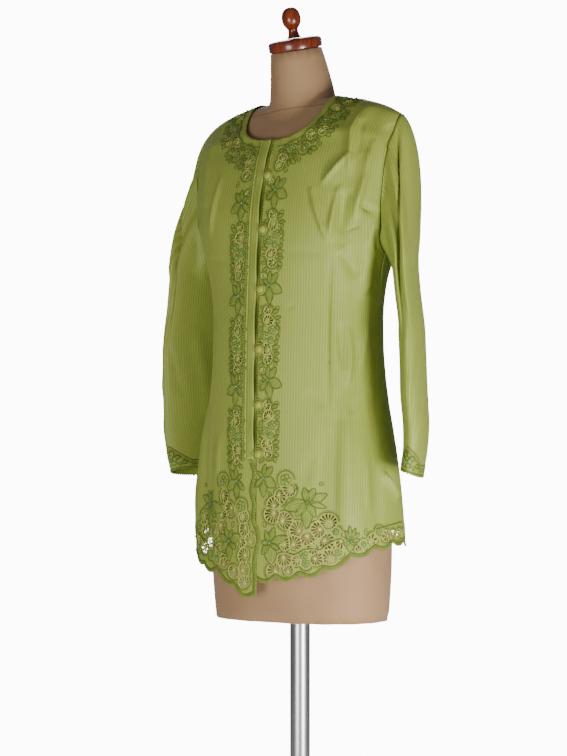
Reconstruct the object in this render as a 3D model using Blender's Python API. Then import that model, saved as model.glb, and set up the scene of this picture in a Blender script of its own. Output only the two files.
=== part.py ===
"""Kebaya blouse on a limbless dress form.

The blouse is cut as a maker would cut it: two fronts, a back, two set-in
sleeves, a plain strip down the opening, six covered buttons and their loops.
One function, cloth_points, gives the place in space of a point on the cloth
from its distance round the body and its height up the cloth. Every panel is
drawn flat, cut out with its lace gaps, laid on that surface and given its
thickness. Metres, +Z up, the front faces -Y, the wearer's left is +X.
"""
import bpy
import math
from collections import namedtuple

import numpy as np
from mathutils import Vector
from mathutils.geometry import delaunay_2d_cdt

# ---------------------------------------------------------------- sizes
CLOTH = 0.0015              # thickness of every cloth wall
SEAM_GAP = 0.0003           # clearance between pieces that meet
TRIM_GAP = 0.0006           # clearance under the buttons and loops
LAP_GAP = 0.0008            # clearance between two panels that lie on each other
LAYER = CLOTH + LAP_GAP     # step from one cloth layer to the next
SECTION_POWER = 2.25        # squareness of the body sections

Section = namedtuple("Section", "height half_width front back")
CLOTH_SECTIONS = (
    Section(0.540, 0.180, 0.124, 0.122),
    Section(0.600, 0.179, 0.124, 0.121),
    Section(0.660, 0.178, 0.124, 0.120),
    Section(0.724, 0.1735, 0.124, 0.118),
    Section(0.803, 0.163, 0.123, 0.113),
    Section(0.881, 0.149, 0.122, 0.105),
    Section(0.975, 0.1414, 0.120, 0.097),
    Section(1.038, 0.1430, 0.117, 0.099),
    Section(1.075, 0.1500, 0.115, 0.102),
    Section(1.108, 0.1620, 0.113, 0.105),
    Section(1.140, 0.1740, 0.111, 0.108),
    Section(1.170, 0.1820, 0.108, 0.111),
    Section(1.210, 0.1870, 0.101, 0.112),
    Section(1.250, 0.1895, 0.091, 0.109),
    Section(1.285, 0.1905, 0.077, 0.105),
    Section(1.330, 0.1910, 0.073, 0.103),
    Section(1.460, 0.1910, 0.072, 0.102),
)

FORM_SECTIONS = (
    Section(0.530, 0.150, 0.090, 0.105),
    Section(0.600, 0.156, 0.096, 0.108),
    Section(0.700, 0.156, 0.100, 0.107),
    Section(0.800, 0.146, 0.094, 0.099),
    Section(0.880, 0.131, 0.087, 0.087),
    Section(0.975, 0.112, 0.080, 0.078),
    Section(1.040, 0.118, 0.087, 0.082),
    Section(1.108, 0.132, 0.098, 0.091),
    Section(1.150, 0.143, 0.100, 0.097),
    Section(1.200, 0.158, 0.094, 0.103),
    Section(1.240, 0.169, 0.085, 0.102),
    Section(1.272, 0.1755, 0.0695, 0.099),
)

# The shoulder line: its height against the distance from the middle.
ShoulderPoint = namedtuple("ShoulderPoint", "out height round_over")
SHOULDER = (
    ShoulderPoint(0.000, 1.360, 0.075),
    ShoulderPoint(0.071, 1.360, 0.072),
    ShoulderPoint(0.098, 1.353, 0.067),
    ShoulderPoint(0.130, 1.346, 0.062),
    ShoulderPoint(0.160, 1.335, 0.056),
    ShoulderPoint(0.187, 1.320, 0.050),
    ShoulderPoint(0.200, 1.312, 0.048),
)
SHOULDER_BACK = 0.008       # the shoulder line lies this far behind the middle
SHOULDER_TIP = 0.187
SHOULDER_STEPS = 8          # straight stretches along a shoulder seam
CHEST_SLOPE = 0.20          # how much straighter than an arc the front runs up to the shoulder line

# The neckline: half its width, how deep it is in front and behind.
NECK_HALF_WIDTH = 0.073
NECK_DROP_FRONT = 0.074
NECK_DROP_BACK = 0.020
NECK_POWER = 2.7
NECK_STEPS = 10

# The armhole: height against distance from the middle, underarm to tip.
ArmholePoint = namedtuple("ArmholePoint", "height out")
ARMHOLE_FRONT = (
    ArmholePoint(1.1080, 0.1620),
    ArmholePoint(1.1125, 0.1632),
    ArmholePoint(1.1240, 0.1660),
    ArmholePoint(1.1450, 0.1712),
    ArmholePoint(1.1720, 0.1748),
    ArmholePoint(1.2050, 0.1780),
    ArmholePoint(1.2420, 0.1808),
    ArmholePoint(1.2820, 0.1850),
    ArmholePoint(1.3200, 0.1870),
)
ARMHOLE_STEPS = 13          # straight stretches in each half of the armhole

# Hem heights against the distance round from the middle of the front.
HemPoint = namedtuple("HemPoint", "round height")
HEM_LEFT = (
    HemPoint(-0.020, 0.603),
    HemPoint(0.040, 0.606),
    HemPoint(0.085, 0.612),
    HemPoint(0.124, 0.622),
    HemPoint(0.158, 0.639),
    HemPoint(0.205, 0.653),
    HemPoint(0.260, 0.661),
)
HEM_RIGHT = (
    HemPoint(-0.010, 0.576),
    HemPoint(0.020, 0.581),
    HemPoint(0.045, 0.594),
    HemPoint(0.070, 0.609),
    HemPoint(0.124, 0.622),
    HemPoint(0.158, 0.639),
    HemPoint(0.205, 0.653),
    HemPoint(0.260, 0.661),
)
HEM_BACK = 0.658
SCALLOP_WIDTH = 0.040
SCALLOP_DEPTH = 0.008
SCALLOP_STEPS = 5

# The opening down the front.
LEFT_EDGE = -0.0158         # the left front's edge, under the right front
STRIP_LEFT = -0.0145
STRIP_RIGHT = 0.0005
STRIP_BOTTOM = 0.786
STRIP_LEVELS = 22
LOWER_LEVELS = 9
EDGE_STEP = 0.0003          # a corner is set this far from the line it meets
NECK_FIRST = 0.004          # no neckline point nearer the opening than this
RIGHT_EDGE_LEVELS = 20
LAP_COLUMN = 0.002          # a row of the left front's points runs up beside the strip
EdgePoint = namedtuple("EdgePoint", "height out")
RIGHT_EDGE = (              # the right front's waved edge below the strip
    EdgePoint(0.576, 0.0040),
    EdgePoint(0.600, 0.0050),
    EdgePoint(0.635, 0.0050),
    EdgePoint(0.651, 0.0090),
    EdgePoint(0.673, 0.0105),
    EdgePoint(0.691, 0.0020),
    EdgePoint(0.716, 0.0035),
    EdgePoint(0.738, -0.0020),
    EdgePoint(0.763, 0.0040),
    EdgePoint(0.784, -0.0035),
)
LAYER_FULL = 0.020          # the right front lies over the left out to here,
LAYER_NONE = 0.065          # and comes down to the body's surface by here
SIDE_STEPS = 15             # straight stretches down a side seam
# How far behind the middle of the side the side seam lies: (height, distance).
SIDE_SHIFTS = ((0.540, 0.050), (0.735, 0.048), (0.880, 0.043), (0.975, 0.034), (1.038, 0.018),
               (1.075, 0.005), (1.095, 0.0005), (1.108, 0.0), (1.130, 0.0), (1.460, 0.0))
VENT_TOP = 0.735
VENT_SPREAD = 0.004

BUTTON_HEIGHTS = (1.227, 1.142, 1.049, 0.956, 0.870, 0.794)
BUTTON_RADIUS = 0.0070
BUTTON_RISE = 0.0052
BUTTON_EDGE = 0.0012
BUTTON_DOME = math.radians(74)
BUTTON_SIDES = 12
BUTTON_RINGS = 2
LOOP_CORD = 0.0010          # radius of the rouleau
LOOP_SIDES = 5
LOOP_STEPS = 7

# Sleeves, as sections of the hanging tube below the underarm.
SleeveSection = namedtuple("SleeveSection", "height centre_x centre_y long short")
SLEEVE_SECTIONS = (
    SleeveSection(1.080, 0.1945, 0.006, 0.0715, 0.0195),
    SleeveSection(1.040, 0.1990, 0.006, 0.0715, 0.0188),
    SleeveSection(0.995, 0.2055, 0.006, 0.0705, 0.0186),
    SleeveSection(0.940, 0.2085, 0.006, 0.0680, 0.0188),
    SleeveSection(0.887, 0.2105, 0.005, 0.0650, 0.0195),
    SleeveSection(0.840, 0.2150, 0.004, 0.0600, 0.0190),
    SleeveSection(0.800, 0.2140, 0.003, 0.0540, 0.0175),
    SleeveSection(0.765, 0.2090, 0.002, 0.0500, 0.0162),
)
SLEEVE_TURN = math.radians(24)   # the flat sleeve's front edge swings outward
CUFF_TILT = 0.006           # the cuff's outer side hangs this much low, its inner side as much high
CUFF_TILT_TOP = 0.860
SLEEVE_RINGS = (1.055, 1.025, 0.99, 0.95, 0.91, 0.875, 0.845, 0.815, 0.79, 0.765)
CAP_RINGS = (0.0, 0.10, 0.22, 0.36, 0.52, 0.70, 0.86, 1.0)
CAP_FULLNESS = 0.62              # how far the sleeve's cap swells before it turns down
CAP_OUT = 0.8                    # the way the cap leaves the armhole: outward,
CAP_SPREAD = 0.5                 # toward front and back,
CAP_DOWN = 0.8                   # and down
SLEEVE_STEP = 0.0014             # from the armhole's edge out to the sleeve,
SLEEVE_DROP = 0.00035            # and down to it
VALLEY_DEPTH = 0.010             # the lengthwise fold down the sleeve's front
VALLEY_ANGLE = math.radians(92)
VALLEY_WIDTH = math.radians(17)
VALLEY_TOP = 1.30
VALLEY_END = 0.965
VALLEY_FADE = 0.06

# Dress form.
FORM_SIDES = 34
FORM_LEVELS = 13            # level rings of the torso
FORM_TOP_LEVEL = 1.255
FORM_CLEAR = 0.0025         # below the cloth's middle along the shoulder line
FORM_DEPTH_LEAST = 0.004    # where the shoulder line runs out at the tip
FORM_PLAN_STEPS = (0.06, 0.15, 0.28, 0.45, 0.63, 0.82, 1.0)
NECK_BASE_RADIUS = 0.0545
NECK_BASE_Y = 0.008
NECK_LOW = (0.0, 0.007, 1.374)
NECK_LOW_RADIUS = 0.0520
NECK_TOP = (0.0, -0.011, 1.438)
NECK_TOP_RADIUS = 0.0415
TurnedPoint = namedtuple("TurnedPoint", "radius rise")
CAP_PROFILE = (
    TurnedPoint(0.0415, 0.0),
    TurnedPoint(0.0430, 0.0040),
    TurnedPoint(0.0430, 0.0115),
    TurnedPoint(0.0405, 0.0160),
    TurnedPoint(0.0280, 0.0180),
)
KNOB_PROFILE = (
    TurnedPoint(0.0112, 0.0),
    TurnedPoint(0.0086, 0.0065),
    TurnedPoint(0.0078, 0.0125),
    TurnedPoint(0.0105, 0.0170),
    TurnedPoint(0.0145, 0.0230),
    TurnedPoint(0.0155, 0.0310),
    TurnedPoint(0.0142, 0.0390),
    TurnedPoint(0.0095, 0.0455),
    TurnedPoint(0.0040, 0.0480),
)
TURNED_SIDES = 26
POLE_RADIUS = 0.016
BASE_PROFILE = (
    TurnedPoint(0.190, 0.0),
    TurnedPoint(0.190, 0.016),
    TurnedPoint(0.184, 0.022),
    TurnedPoint(0.060, 0.030),
    TurnedPoint(0.024, 0.042),
)
BASE_SIDES = 34

GRID = 0.032                # spacing of the points inside a panel
GRID_FINE = 0.0200          # the same over the shoulders
FINE_ABOVE = 1.22
ROW_STEP = 0.88             # rows of points, as a part of their spacing
EDGE_CLEAR = 0.0090         # no filling points nearer a panel's edge than this,
GAP_CLEAR = 0.0060          # a gap's edge,
CREASE_CLEAR = 0.0090       # or a crease point
CREASE_WIDTH_MOST = 0.0135  # only folds narrower than this get points of their own
CREASE_STEP = 0.026         # between them along a fold
CREASE_BESIDE = 1.3         # how far out the points beside a fold lie, in fold widths
CREASE_GAP_CLEAR = 0.0040
GAP_RIM_LEAST = 0.0010      # cloth left between a gap and the panel's edge
FOLD_END = 0.7              # how slowly a fold fades beyond its ends
FOLD_FADE_LEAST = 0.15

# ---------------------------------------------------------------- folds
# A ridge (depth above nought) or trough (below) along a line on the cloth.
# side: +1 left front, -1 right front, 0 both, 2 back (round is signed there).
Fold = namedtuple("Fold", "side round_a height_a round_b height_b width depth")
FOLDS = (
    Fold(0, 0.108, 1.150, 0.110, 1.125, 0.050, 0.0080),     # bust
    Fold(0, 0.121, 1.100, 0.124, 0.855, 0.006, -0.0024),    # fish-eye dart
    Fold(1, 0.143, 1.350, 0.147, 1.253, 0.012, 0.0045),     # shoulder to bust
    Fold(1, 0.147, 1.253, 0.116, 1.210, 0.012, 0.0035),
    Fold(1, 0.174, 1.262, 0.158, 1.160, 0.011, 0.0045),
    Fold(1, 0.188, 1.300, 0.203, 1.262, 0.008, -0.0040),
    Fold(1, 0.165, 1.174, 0.190, 1.162, 0.008, -0.0035),
    Fold(1, 0.132, 1.195, 0.140, 1.108, 0.012, -0.0055),    # beside the bust
    Fold(1, 0.140, 1.108, 0.168, 1.066, 0.012, -0.0060),
    Fold(1, 0.177, 1.110, 0.186, 1.030, 0.014, 0.0045),
    Fold(1, 0.089, 1.200, 0.114, 1.140, 0.010, -0.0025),
    Fold(1, 0.040, 1.111, 0.116, 1.109, 0.006, -0.0016),    # pressed crease
    Fold(1, 0.152, 0.904, 0.158, 0.853, 0.009, -0.0030),
    Fold(1, 0.143, 0.850, 0.146, 0.640, 0.015, 0.0060),     # skirt ridges
    Fold(1, 0.120, 0.840, 0.118, 0.650, 0.013, -0.0040),
    Fold(1, 0.172, 0.830, 0.170, 0.660, 0.012, 0.0035),
    Fold(1, 0.203, 0.900, 0.206, 0.660, 0.016, -0.0055),
    Fold(1, 0.218, 0.764, 0.262, 0.722, 0.009, 0.0035),
    Fold(-1, 0.140, 1.300, 0.122, 1.185, 0.013, 0.0040),
    Fold(-1, 0.182, 1.255, 0.168, 1.160, 0.012, -0.0040),
    Fold(-1, 0.150, 1.200, 0.176, 1.070, 0.014, -0.0050),
    Fold(-1, 0.150, 0.880, 0.160, 0.650, 0.020, 0.0055),
    Fold(-1, 0.200, 0.900, 0.208, 0.650, 0.018, -0.0050),
    Fold(-1, 0.105, 0.830, 0.112, 0.650, 0.016, -0.0040),
    Fold(2, 0.085, 1.080, 0.085, 0.850, 0.006, -0.0022),    # back darts
    Fold(2, -0.085, 1.080, -0.085, 0.850, 0.006, -0.0022),
    Fold(2, 0.040, 0.930, -0.050, 0.925, 0.013, -0.0045),   # slack at the waist
    Fold(2, -0.060, 0.975, 0.070, 0.965, 0.013, 0.0040),
    Fold(2, 0.135, 1.260, 0.105, 1.130, 0.014, -0.0040),
    Fold(2, -0.140, 1.250, -0.112, 1.120, 0.014, -0.0045),
    Fold(2, 0.110, 0.860, 0.125, 0.640, 0.022, 0.0060),
    Fold(2, 0.030, 0.860, 0.020, 0.640, 0.022, -0.0055),
    Fold(2, -0.070, 0.860, -0.080, 0.640, 0.022, 0.0060),
    Fold(2, -0.160, 0.850, -0.175, 0.640, 0.020, -0.0050),
)

# ---------------------------------------------------------------- cutwork
# A wheel is a ring of wedge-shaped gaps about a small worked middle.
Wheel = namedtuple("Wheel", "round height radius gaps")
WHEELS_LEFT = (
    Wheel(0.0600, 0.745, 0.0090, 5),
    Wheel(0.0510, 0.729, 0.0058, 4),
    Wheel(0.0365, 0.723, 0.0072, 5),
    Wheel(0.0335, 0.702, 0.0115, 6),
    Wheel(0.0560, 0.692, 0.0112, 6),
    Wheel(0.0750, 0.6795, 0.0092, 5),
    Wheel(0.0930, 0.665, 0.0095, 5),
    Wheel(0.0720, 0.660, 0.0095, 5),
    Wheel(0.1070, 0.677, 0.0085, 5),
    Wheel(0.1240, 0.6585, 0.0105, 6),
    Wheel(0.1240, 0.692, 0.0100, 5),
    Wheel(0.0355, 0.617, 0.0095, 5),
    Wheel(0.0545, 0.633, 0.0105, 6),
    Wheel(0.0780, 0.632, 0.0075, 5),
    Wheel(0.1080, 0.636, 0.0072, 5),
    Wheel(0.1310, 0.6365, 0.0080, 5),
    Wheel(0.1965, 0.6680, 0.0070, 5),
    Wheel(0.2255, 0.6750, 0.0085, 5),
)
WHEELS_RIGHT = (
    Wheel(0.0180, 0.696, 0.0090, 5),
    Wheel(0.0165, 0.6765, 0.0085, 5),
    Wheel(0.0055, 0.6615, 0.0070, 5),
    Wheel(0.0180, 0.6365, 0.0095, 5),
    Wheel(0.0175, 0.6155, 0.0095, 5),
    Wheel(0.0385, 0.6085, 0.0085, 5),
    Wheel(0.0165, 0.5960, 0.0080, 5),
    Wheel(0.0600, 0.640, 0.0100, 5),
    Wheel(0.0850, 0.652, 0.0100, 5),
    Wheel(0.1100, 0.660, 0.0100, 5),
    Wheel(0.1350, 0.662, 0.0090, 5),
    Wheel(0.1965, 0.6680, 0.0070, 5),
    Wheel(0.2255, 0.6750, 0.0085, 5),
)
WHEELS_BACK = tuple(Wheel(place, 0.676, 0.0085, 5)
                    for place in (-0.165, -0.11, -0.055, 0.0, 0.055, 0.11, 0.165))
HUB = 0.30                  # the worked middle, as a part of the radius
SPOKE = 0.0022              # width of cloth left between two gaps
GAP_ANGLE_LEAST = 0.12      # half the angle a gap keeps at the worked middle
WHEEL_TURN = 0.25           # of a gap, so that no gap points straight sideways

# Leaf-shaped gaps that repeat up both sides of the opening.
COLUMN_REPEAT = 0.086
COLUMN_BOTTOM = 0.800
COLUMN_TOP = 1.235
Leaf = namedtuple("Leaf", "round rise length width lean")
COLUMN_LEAVES = (
    Leaf(0.027, 0.014, 0.016, 0.0050, 20),
    Leaf(0.040, 0.036, 0.014, 0.0045, -25),
    Leaf(0.026, 0.060, 0.016, 0.0050, -15),
)


# ---------------------------------------------------------------- surface
def smooth_columns(rows, where):
    """Read a table at the given places, with a smooth curve through its rows."""
    table = np.array(rows, dtype=float)
    key = table[:, 0]
    values = table[:, 1:]
    slopes = np.gradient(values, key, axis=0)
    where = np.clip(np.atleast_1d(np.asarray(where, dtype=float)), key[0], key[-1])
    row = np.clip(np.searchsorted(key, where) - 1, 0, len(key) - 2)
    span = (key[row + 1] - key[row])[:, None]
    t = (where - key[row])[:, None] / span
    start = (1 + 2 * t) * (1 - t) ** 2 * values[row] + t * (1 - t) ** 2 * span * slopes[row]
    end = t * t * (3 - 2 * t) * values[row + 1] + t * t * (t - 1) * span * slopes[row + 1]
    return start + end


TABLE_LOW = 0.54
TABLE_HIGH = 1.46
TABLE_ROWS = 369
TABLE_STEPS = 129
QUARTER_POINTS = 400
FINE_STEPS = 240            # points along a line before it is spread evenly


def quarter_curves(depth_column):
    """Sections from the middle to the side seam, evenly spaced along their length."""
    heights = np.linspace(TABLE_LOW, TABLE_HIGH, TABLE_ROWS)
    sizes = smooth_columns(CLOTH_SECTIONS, heights)
    shifts = smooth_columns(SIDE_SHIFTS, heights)[:, 0]
    angle = np.linspace(0, math.pi / 2, QUARTER_POINTS)
    out_unit = np.sin(angle) ** (2 / SECTION_POWER)
    deep_unit = np.cos(angle) ** (2 / SECTION_POWER)
    out_table = np.empty((TABLE_ROWS, TABLE_STEPS))
    deep_table = np.empty((TABLE_ROWS, TABLE_STEPS))
    girth = np.empty(TABLE_ROWS)
    other_column = 3 - depth_column
    for row in range(TABLE_ROWS):
        own = sizes[row, depth_column] * deep_unit
        other = sizes[row, other_column] * deep_unit
        out = sizes[row, 0] * np.concatenate([out_unit, out_unit[-2::-1]])
        deep = np.concatenate([own, -other[-2::-1]])
        travelled = np.concatenate(([0], np.cumsum(np.hypot(np.diff(out), np.diff(deep)))))
        onto_back = shifts[row] if depth_column == 1 else -shifts[row]
        girth[row] = travelled[QUARTER_POINTS - 1] + onto_back
        even = np.linspace(0, girth[row], TABLE_STEPS)
        out_table[row] = np.interp(even, travelled, out)
        deep_table[row] = np.interp(even, travelled, deep)
    return heights, girth, out_table, deep_table


FRONT = quarter_curves(1)
BACK = quarter_curves(2)


def girth_at(curves, height):
    """Distance round from the middle to the side seam."""
    return np.interp(height, curves[0], curves[1])


def read_quarter(curves, distance, height):
    """Distance out and depth of points on the quarter sections."""
    heights, girth, out_table, deep_table = curves
    row = (np.clip(height, TABLE_LOW, TABLE_HIGH) - TABLE_LOW) / (TABLE_HIGH - TABLE_LOW) * (TABLE_ROWS - 1)
    step = np.clip(distance / girth_at(curves, height), 0, 1) * (TABLE_STEPS - 1)
    row_low = np.clip(row.astype(int), 0, TABLE_ROWS - 2)
    step_low = np.clip(step.astype(int), 0, TABLE_STEPS - 2)
    row_part = row - row_low
    step_part = step - step_low

    def blend(table):
        low = table[row_low, step_low] * (1 - step_part) + table[row_low, step_low + 1] * step_part
        high = table[row_low + 1, step_low] * (1 - step_part) + table[row_low + 1, step_low + 1] * step_part
        return low * (1 - row_part) + high * row_part

    return blend(out_table), blend(deep_table)


def round_over_depth(angle, slope):
    """Depth left, as a part of the whole, at an angle of the run up to the shoulder line."""
    return np.cos(angle) * (1 - slope * np.sin(2 * angle))


def round_over_length(rise, depth):
    """Length of a quarter ellipse, near enough for laying cloth over it."""
    return math.pi / 2 * np.sqrt((rise * rise + depth * depth) / 2)


def shoulder_at(curves, out):
    """Shoulder height, where the round-over starts, and its length on the cloth."""
    columns = smooth_columns(SHOULDER, out)
    top = columns[:, 0]
    rise = columns[:, 1]
    quarter_out, quarter_deep = read_row(curves, SHOULDER[0].height - SHOULDER[0].round_over)
    depth = np.interp(out, quarter_out, quarter_deep)
    behind = SHOULDER_BACK if curves is FRONT else -SHOULDER_BACK
    return top, rise, round_over_length(rise, depth + behind)


def read_row(curves, height):
    """One whole quarter section."""
    steps = np.linspace(0, girth_at(curves, height), TABLE_STEPS)
    return read_quarter(curves, steps, np.full(TABLE_STEPS, height))


def fold_lift(side, distance, height):
    """How far the folds raise the cloth."""
    lift = np.zeros_like(distance)
    for fold in FOLDS:
        if side == 2 and fold.side != 2 or side != 2 and fold.side not in (0, side):
            continue
        along_round = fold.round_b - fold.round_a
        along_height = fold.height_b - fold.height_a
        length = math.hypot(along_round, along_height)
        from_a = distance - fold.round_a
        above_a = height - fold.height_a
        part = (from_a * along_round + above_a * along_height) / length ** 2
        across = (from_a * along_height - above_a * along_round) / length
        beyond = np.maximum(np.abs(part - 0.5) - 0.5, 0) * length
        fade = np.clip(1 - (np.abs(part - 0.5) * 2) ** 4, FOLD_FADE_LEAST, 1)
        reach = (across ** 2 + (beyond * FOLD_END) ** 2) / fold.width ** 2
        lift += fold.depth * fade * np.exp(-reach)
    return lift


def bare_points(side, distance, height):
    """The cloth's surface without folds. side is 1, -1 or 2, distance is signed on the back."""
    curves = BACK if side == 2 else FRONT
    out, deep = read_quarter(curves, np.abs(distance), height)
    top, rise, length = shoulder_at(curves, out)
    start = top - rise
    angle = np.clip((height - start) / length, 0, 1) * math.pi / 2
    low = height <= start
    z = np.where(low, height, start + rise * np.sin(angle))
    facing = 1 if side == 2 else -1
    slope = 0.0 if side == 2 else CHEST_SLOPE
    left = round_over_depth(angle, slope)
    y = np.where(low, facing * deep, SHOULDER_BACK + (facing * deep - SHOULDER_BACK) * left)
    hand = np.sign(distance) * (side if side != 2 else 1)
    return np.stack([hand * out, y, z], axis=1)


NUDGE = 0.002


def cloth_points(side, distance, height, offset=0.0):
    """Points on the cloth, moved out along its normal by the folds and by offset."""
    distance = np.asarray(distance, dtype=float)
    height = np.asarray(height, dtype=float)

    def folded(dist, high):
        base = bare_points(side, dist, high)
        across = bare_points(side, dist + NUDGE, high) - bare_points(side, dist - NUDGE, high)
        up = bare_points(side, dist, high + NUDGE) - bare_points(side, dist, high - NUDGE)
        normal = np.cross(across, up)
        normal /= np.linalg.norm(normal, axis=1)[:, None]
        lift = fold_lift(side, np.abs(dist) if side != 2 else dist, high)
        return base + normal * facing_out(side) * lift[:, None]

    point = folded(distance, height)
    across = folded(distance + NUDGE, height) - folded(distance - NUDGE, height)
    up = folded(distance, height + NUDGE) - folded(distance, height - NUDGE)
    normal = np.cross(across, up) * facing_out(side)
    normal /= np.linalg.norm(normal, axis=1)[:, None]
    return point + normal * np.atleast_1d(offset)[:, None]


def facing_out(side):
    """Sign that turns the cross product of round and up outward."""
    return 1 if side == 1 else -1


def distance_of(side, out, height):
    """Distance round the cloth to a point that lies so far out at that height."""
    curves = BACK if side == 2 else FRONT
    quarter_out, _ = read_row(curves, height)
    return float(np.interp(abs(out), quarter_out, np.linspace(0, girth_at(curves, height), TABLE_STEPS)))


def height_of(side, out, z):
    """Height up the cloth of a point that lies so far out at height z."""
    curves = BACK if side == 2 else FRONT
    top, rise, length = shoulder_at(curves, np.array([out]))
    start = top[0] - rise[0]
    if z <= start:
        return z
    return start + math.asin(min((z - start) / rise[0], 1.0)) / (math.pi / 2) * length[0]


# ---------------------------------------------------------------- outlines
def seam_top(side, out):
    """Height up the cloth of the shoulder seam, less half the seam's gap."""
    curves = BACK if side == 2 else FRONT
    top, rise, length = shoulder_at(curves, np.array([out]))
    return float(top[0] - rise[0] + length[0]) - SEAM_GAP / 2


def spread_evenly(side, fine, count):
    """Points spread evenly in space along a finely drawn line on the cloth."""
    fine = np.array(fine)
    placed = bare_points(side, fine[:, 0], fine[:, 1])
    travelled = np.concatenate(([0], np.cumsum(np.linalg.norm(np.diff(placed, axis=0), axis=1))))
    even = np.linspace(0, travelled[-1], count + 1)
    rounds = np.interp(even, travelled, fine[:, 0])
    heights = np.interp(even, travelled, fine[:, 1])
    return [(float(distance), float(high)) for distance, high in zip(rounds, heights)]


def neck_outline(side):
    """From the middle up to the shoulder, as (round, height)."""
    drop = NECK_DROP_BACK if side == 2 else NECK_DROP_FRONT
    fine = []
    for angle in np.linspace(0, math.pi / 2, FINE_STEPS):
        out = NECK_HALF_WIDTH * math.sin(angle) ** (2 / NECK_POWER)
        z = SHOULDER[1].height - drop * max(math.cos(angle), 0) ** (2 / NECK_POWER)
        high = min(height_of(side, out, z), seam_top(side, out))
        fine.append((distance_of(side, out, high), high))
    return spread_evenly(side, fine, NECK_STEPS)


def shoulder_outline(side):
    """From the neck to the tip, both ends left out."""
    outs = np.linspace(NECK_HALF_WIDTH, SHOULDER_TIP, SHOULDER_STEPS + 1)[1:-1]
    return [(distance_of(side, out, seam_top(side, out)), seam_top(side, out)) for out in outs]


def armhole_outline(side):
    """From the tip down to the underarm, evenly spaced in space."""
    fine = []
    levels = np.linspace(ARMHOLE_FRONT[-1].height, ARMHOLE_FRONT[0].height, FINE_STEPS)
    outs = smooth_columns(ARMHOLE_FRONT, levels)[:, 0]
    for z, out in zip(levels, outs):
        high = min(height_of(side, out, z), seam_top(side, out))
        limit = float(girth_at(BACK if side == 2 else FRONT, high)) - SEAM_GAP / 2
        fine.append((min(distance_of(side, out, high), limit), high))
    return spread_evenly(side, fine, ARMHOLE_STEPS)


def side_edge(curves, height):
    """Where the side seam lies, drawn back along the vent."""
    spread = VENT_SPREAD * max(0.0, (VENT_TOP - height) / (VENT_TOP - HEM_BACK))
    return float(girth_at(curves, height)) - SEAM_GAP / 2 - spread


def side_outline(curves, hem):
    """From the underarm down to the hem, both ends left out."""
    top = ARMHOLE_FRONT[0].height
    return [(side_edge(curves, high), high) for high in np.linspace(top, hem, SIDE_STEPS + 1)[1:-1]]


def scallop(distance):
    """How far the scalloped edge reaches below its line."""
    return SCALLOP_DEPTH * abs(math.sin(math.pi * distance / SCALLOP_WIDTH))


def hem_outline(table, start, end, base=None):
    """Scalloped hem from one distance to another, on a line from the table or at a level base."""
    count = int(abs(end - start) / SCALLOP_WIDTH * SCALLOP_STEPS)
    points = []
    for distance in np.linspace(start, end, count + 1):
        line = base if table is None else smooth_columns(table, distance)[0, 0]
        points.append((float(distance), float(line - scallop(distance))))
    return points


def strip_rows():
    """Heights at which the strip and the left front under it share their points."""
    return np.linspace(STRIP_BOTTOM, neck_outline(1)[0][1], STRIP_LEVELS)


def opening_rows():
    """Heights of the points down the left front's edge."""
    bottom = float(smooth_columns(HEM_LEFT, -LEFT_EDGE)[0, 0])
    return np.concatenate([np.linspace(bottom, STRIP_BOTTOM, LOWER_LEVELS)[:-1], strip_rows()])


def front_outline(side):
    """Outline of a front, anticlockwise for the left one."""
    left = side == 1
    table = HEM_LEFT if left else HEM_RIGHT
    hem_side = float(table[-1].height)
    neck = neck_outline(side)
    if left:
        edge = [(LEFT_EDGE, float(high)) for high in opening_rows()]
        edge += [(0.0, neck[0][1] + EDGE_STEP)]
        hem_end = LEFT_EDGE
    else:
        free = np.linspace(RIGHT_EDGE[0].height + EDGE_STEP, RIGHT_EDGE[-1].height, RIGHT_EDGE_LEVELS)
        edge = [(-float(smooth_columns(RIGHT_EDGE, high)[0, 0]), float(high)) for high in free]
        inner = -STRIP_LEFT + SEAM_GAP
        edge.append((inner, STRIP_BOTTOM - SEAM_GAP))
        edge += [(inner, float(high)) for high in strip_rows()[1:-1]]
        edge.append((inner, neck[0][1] + EDGE_STEP))
        hem_end = -RIGHT_EDGE[0].out
    neck = [point for point in neck if point[0] > edge[-1][0] + NECK_FIRST]
    armhole = armhole_outline(side)
    points = edge + neck + shoulder_outline(side) + armhole
    points += side_outline(FRONT, hem_side)
    points += hem_outline(table, side_edge(FRONT, hem_side), hem_end)[:-1]
    return points


def back_outline():
    """Outline of the back, from the wearer's right side round to the left."""
    half = neck_outline(2)[1:] + shoulder_outline(2) + armhole_outline(2) + side_outline(BACK, HEM_BACK)
    mirrored = [(-distance, high) for distance, high in reversed(half)]
    middle = [(0.0, neck_outline(2)[0][1])]
    edge = side_edge(BACK, HEM_BACK)
    return mirrored + middle + half + hem_outline(None, edge, -edge, HEM_BACK)


# ---------------------------------------------------------------- gaps
def wheel_gaps(wheel):
    """Wedge-shaped gaps of one wheel."""
    gaps = []
    inner = wheel.radius * HUB
    for index in range(wheel.gaps):
        middle = 2 * math.pi * (index + WHEEL_TURN) / wheel.gaps
        half = math.pi / wheel.gaps
        outer_half = half - SPOKE / 2 / wheel.radius
        inner_half = max(half - SPOKE / 2 / inner, GAP_ANGLE_LEAST)
        rim = wheel.radius
        corners = ((inner, -inner_half), (rim, -outer_half), (rim, outer_half), (inner, inner_half))
        gaps.append([(wheel.round + r * math.cos(middle + a), wheel.height + r * math.sin(middle + a))
                     for r, a in corners])
    return gaps


def leaf_gap(distance, height, leaf):
    """A pointed leaf-shaped gap."""
    lean = math.radians(leaf.lean)
    half = leaf.length / 2
    outline = ((0, -half), (leaf.width / 2, -half / 3), (leaf.width / 2, half / 3), (0, half),
               (-leaf.width / 2, half / 3), (-leaf.width / 2, -half / 3))
    across = math.cos(lean)
    along = math.sin(lean)
    return [(distance + x * across - y * along, height + x * along + y * across) for x, y in outline]


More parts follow.
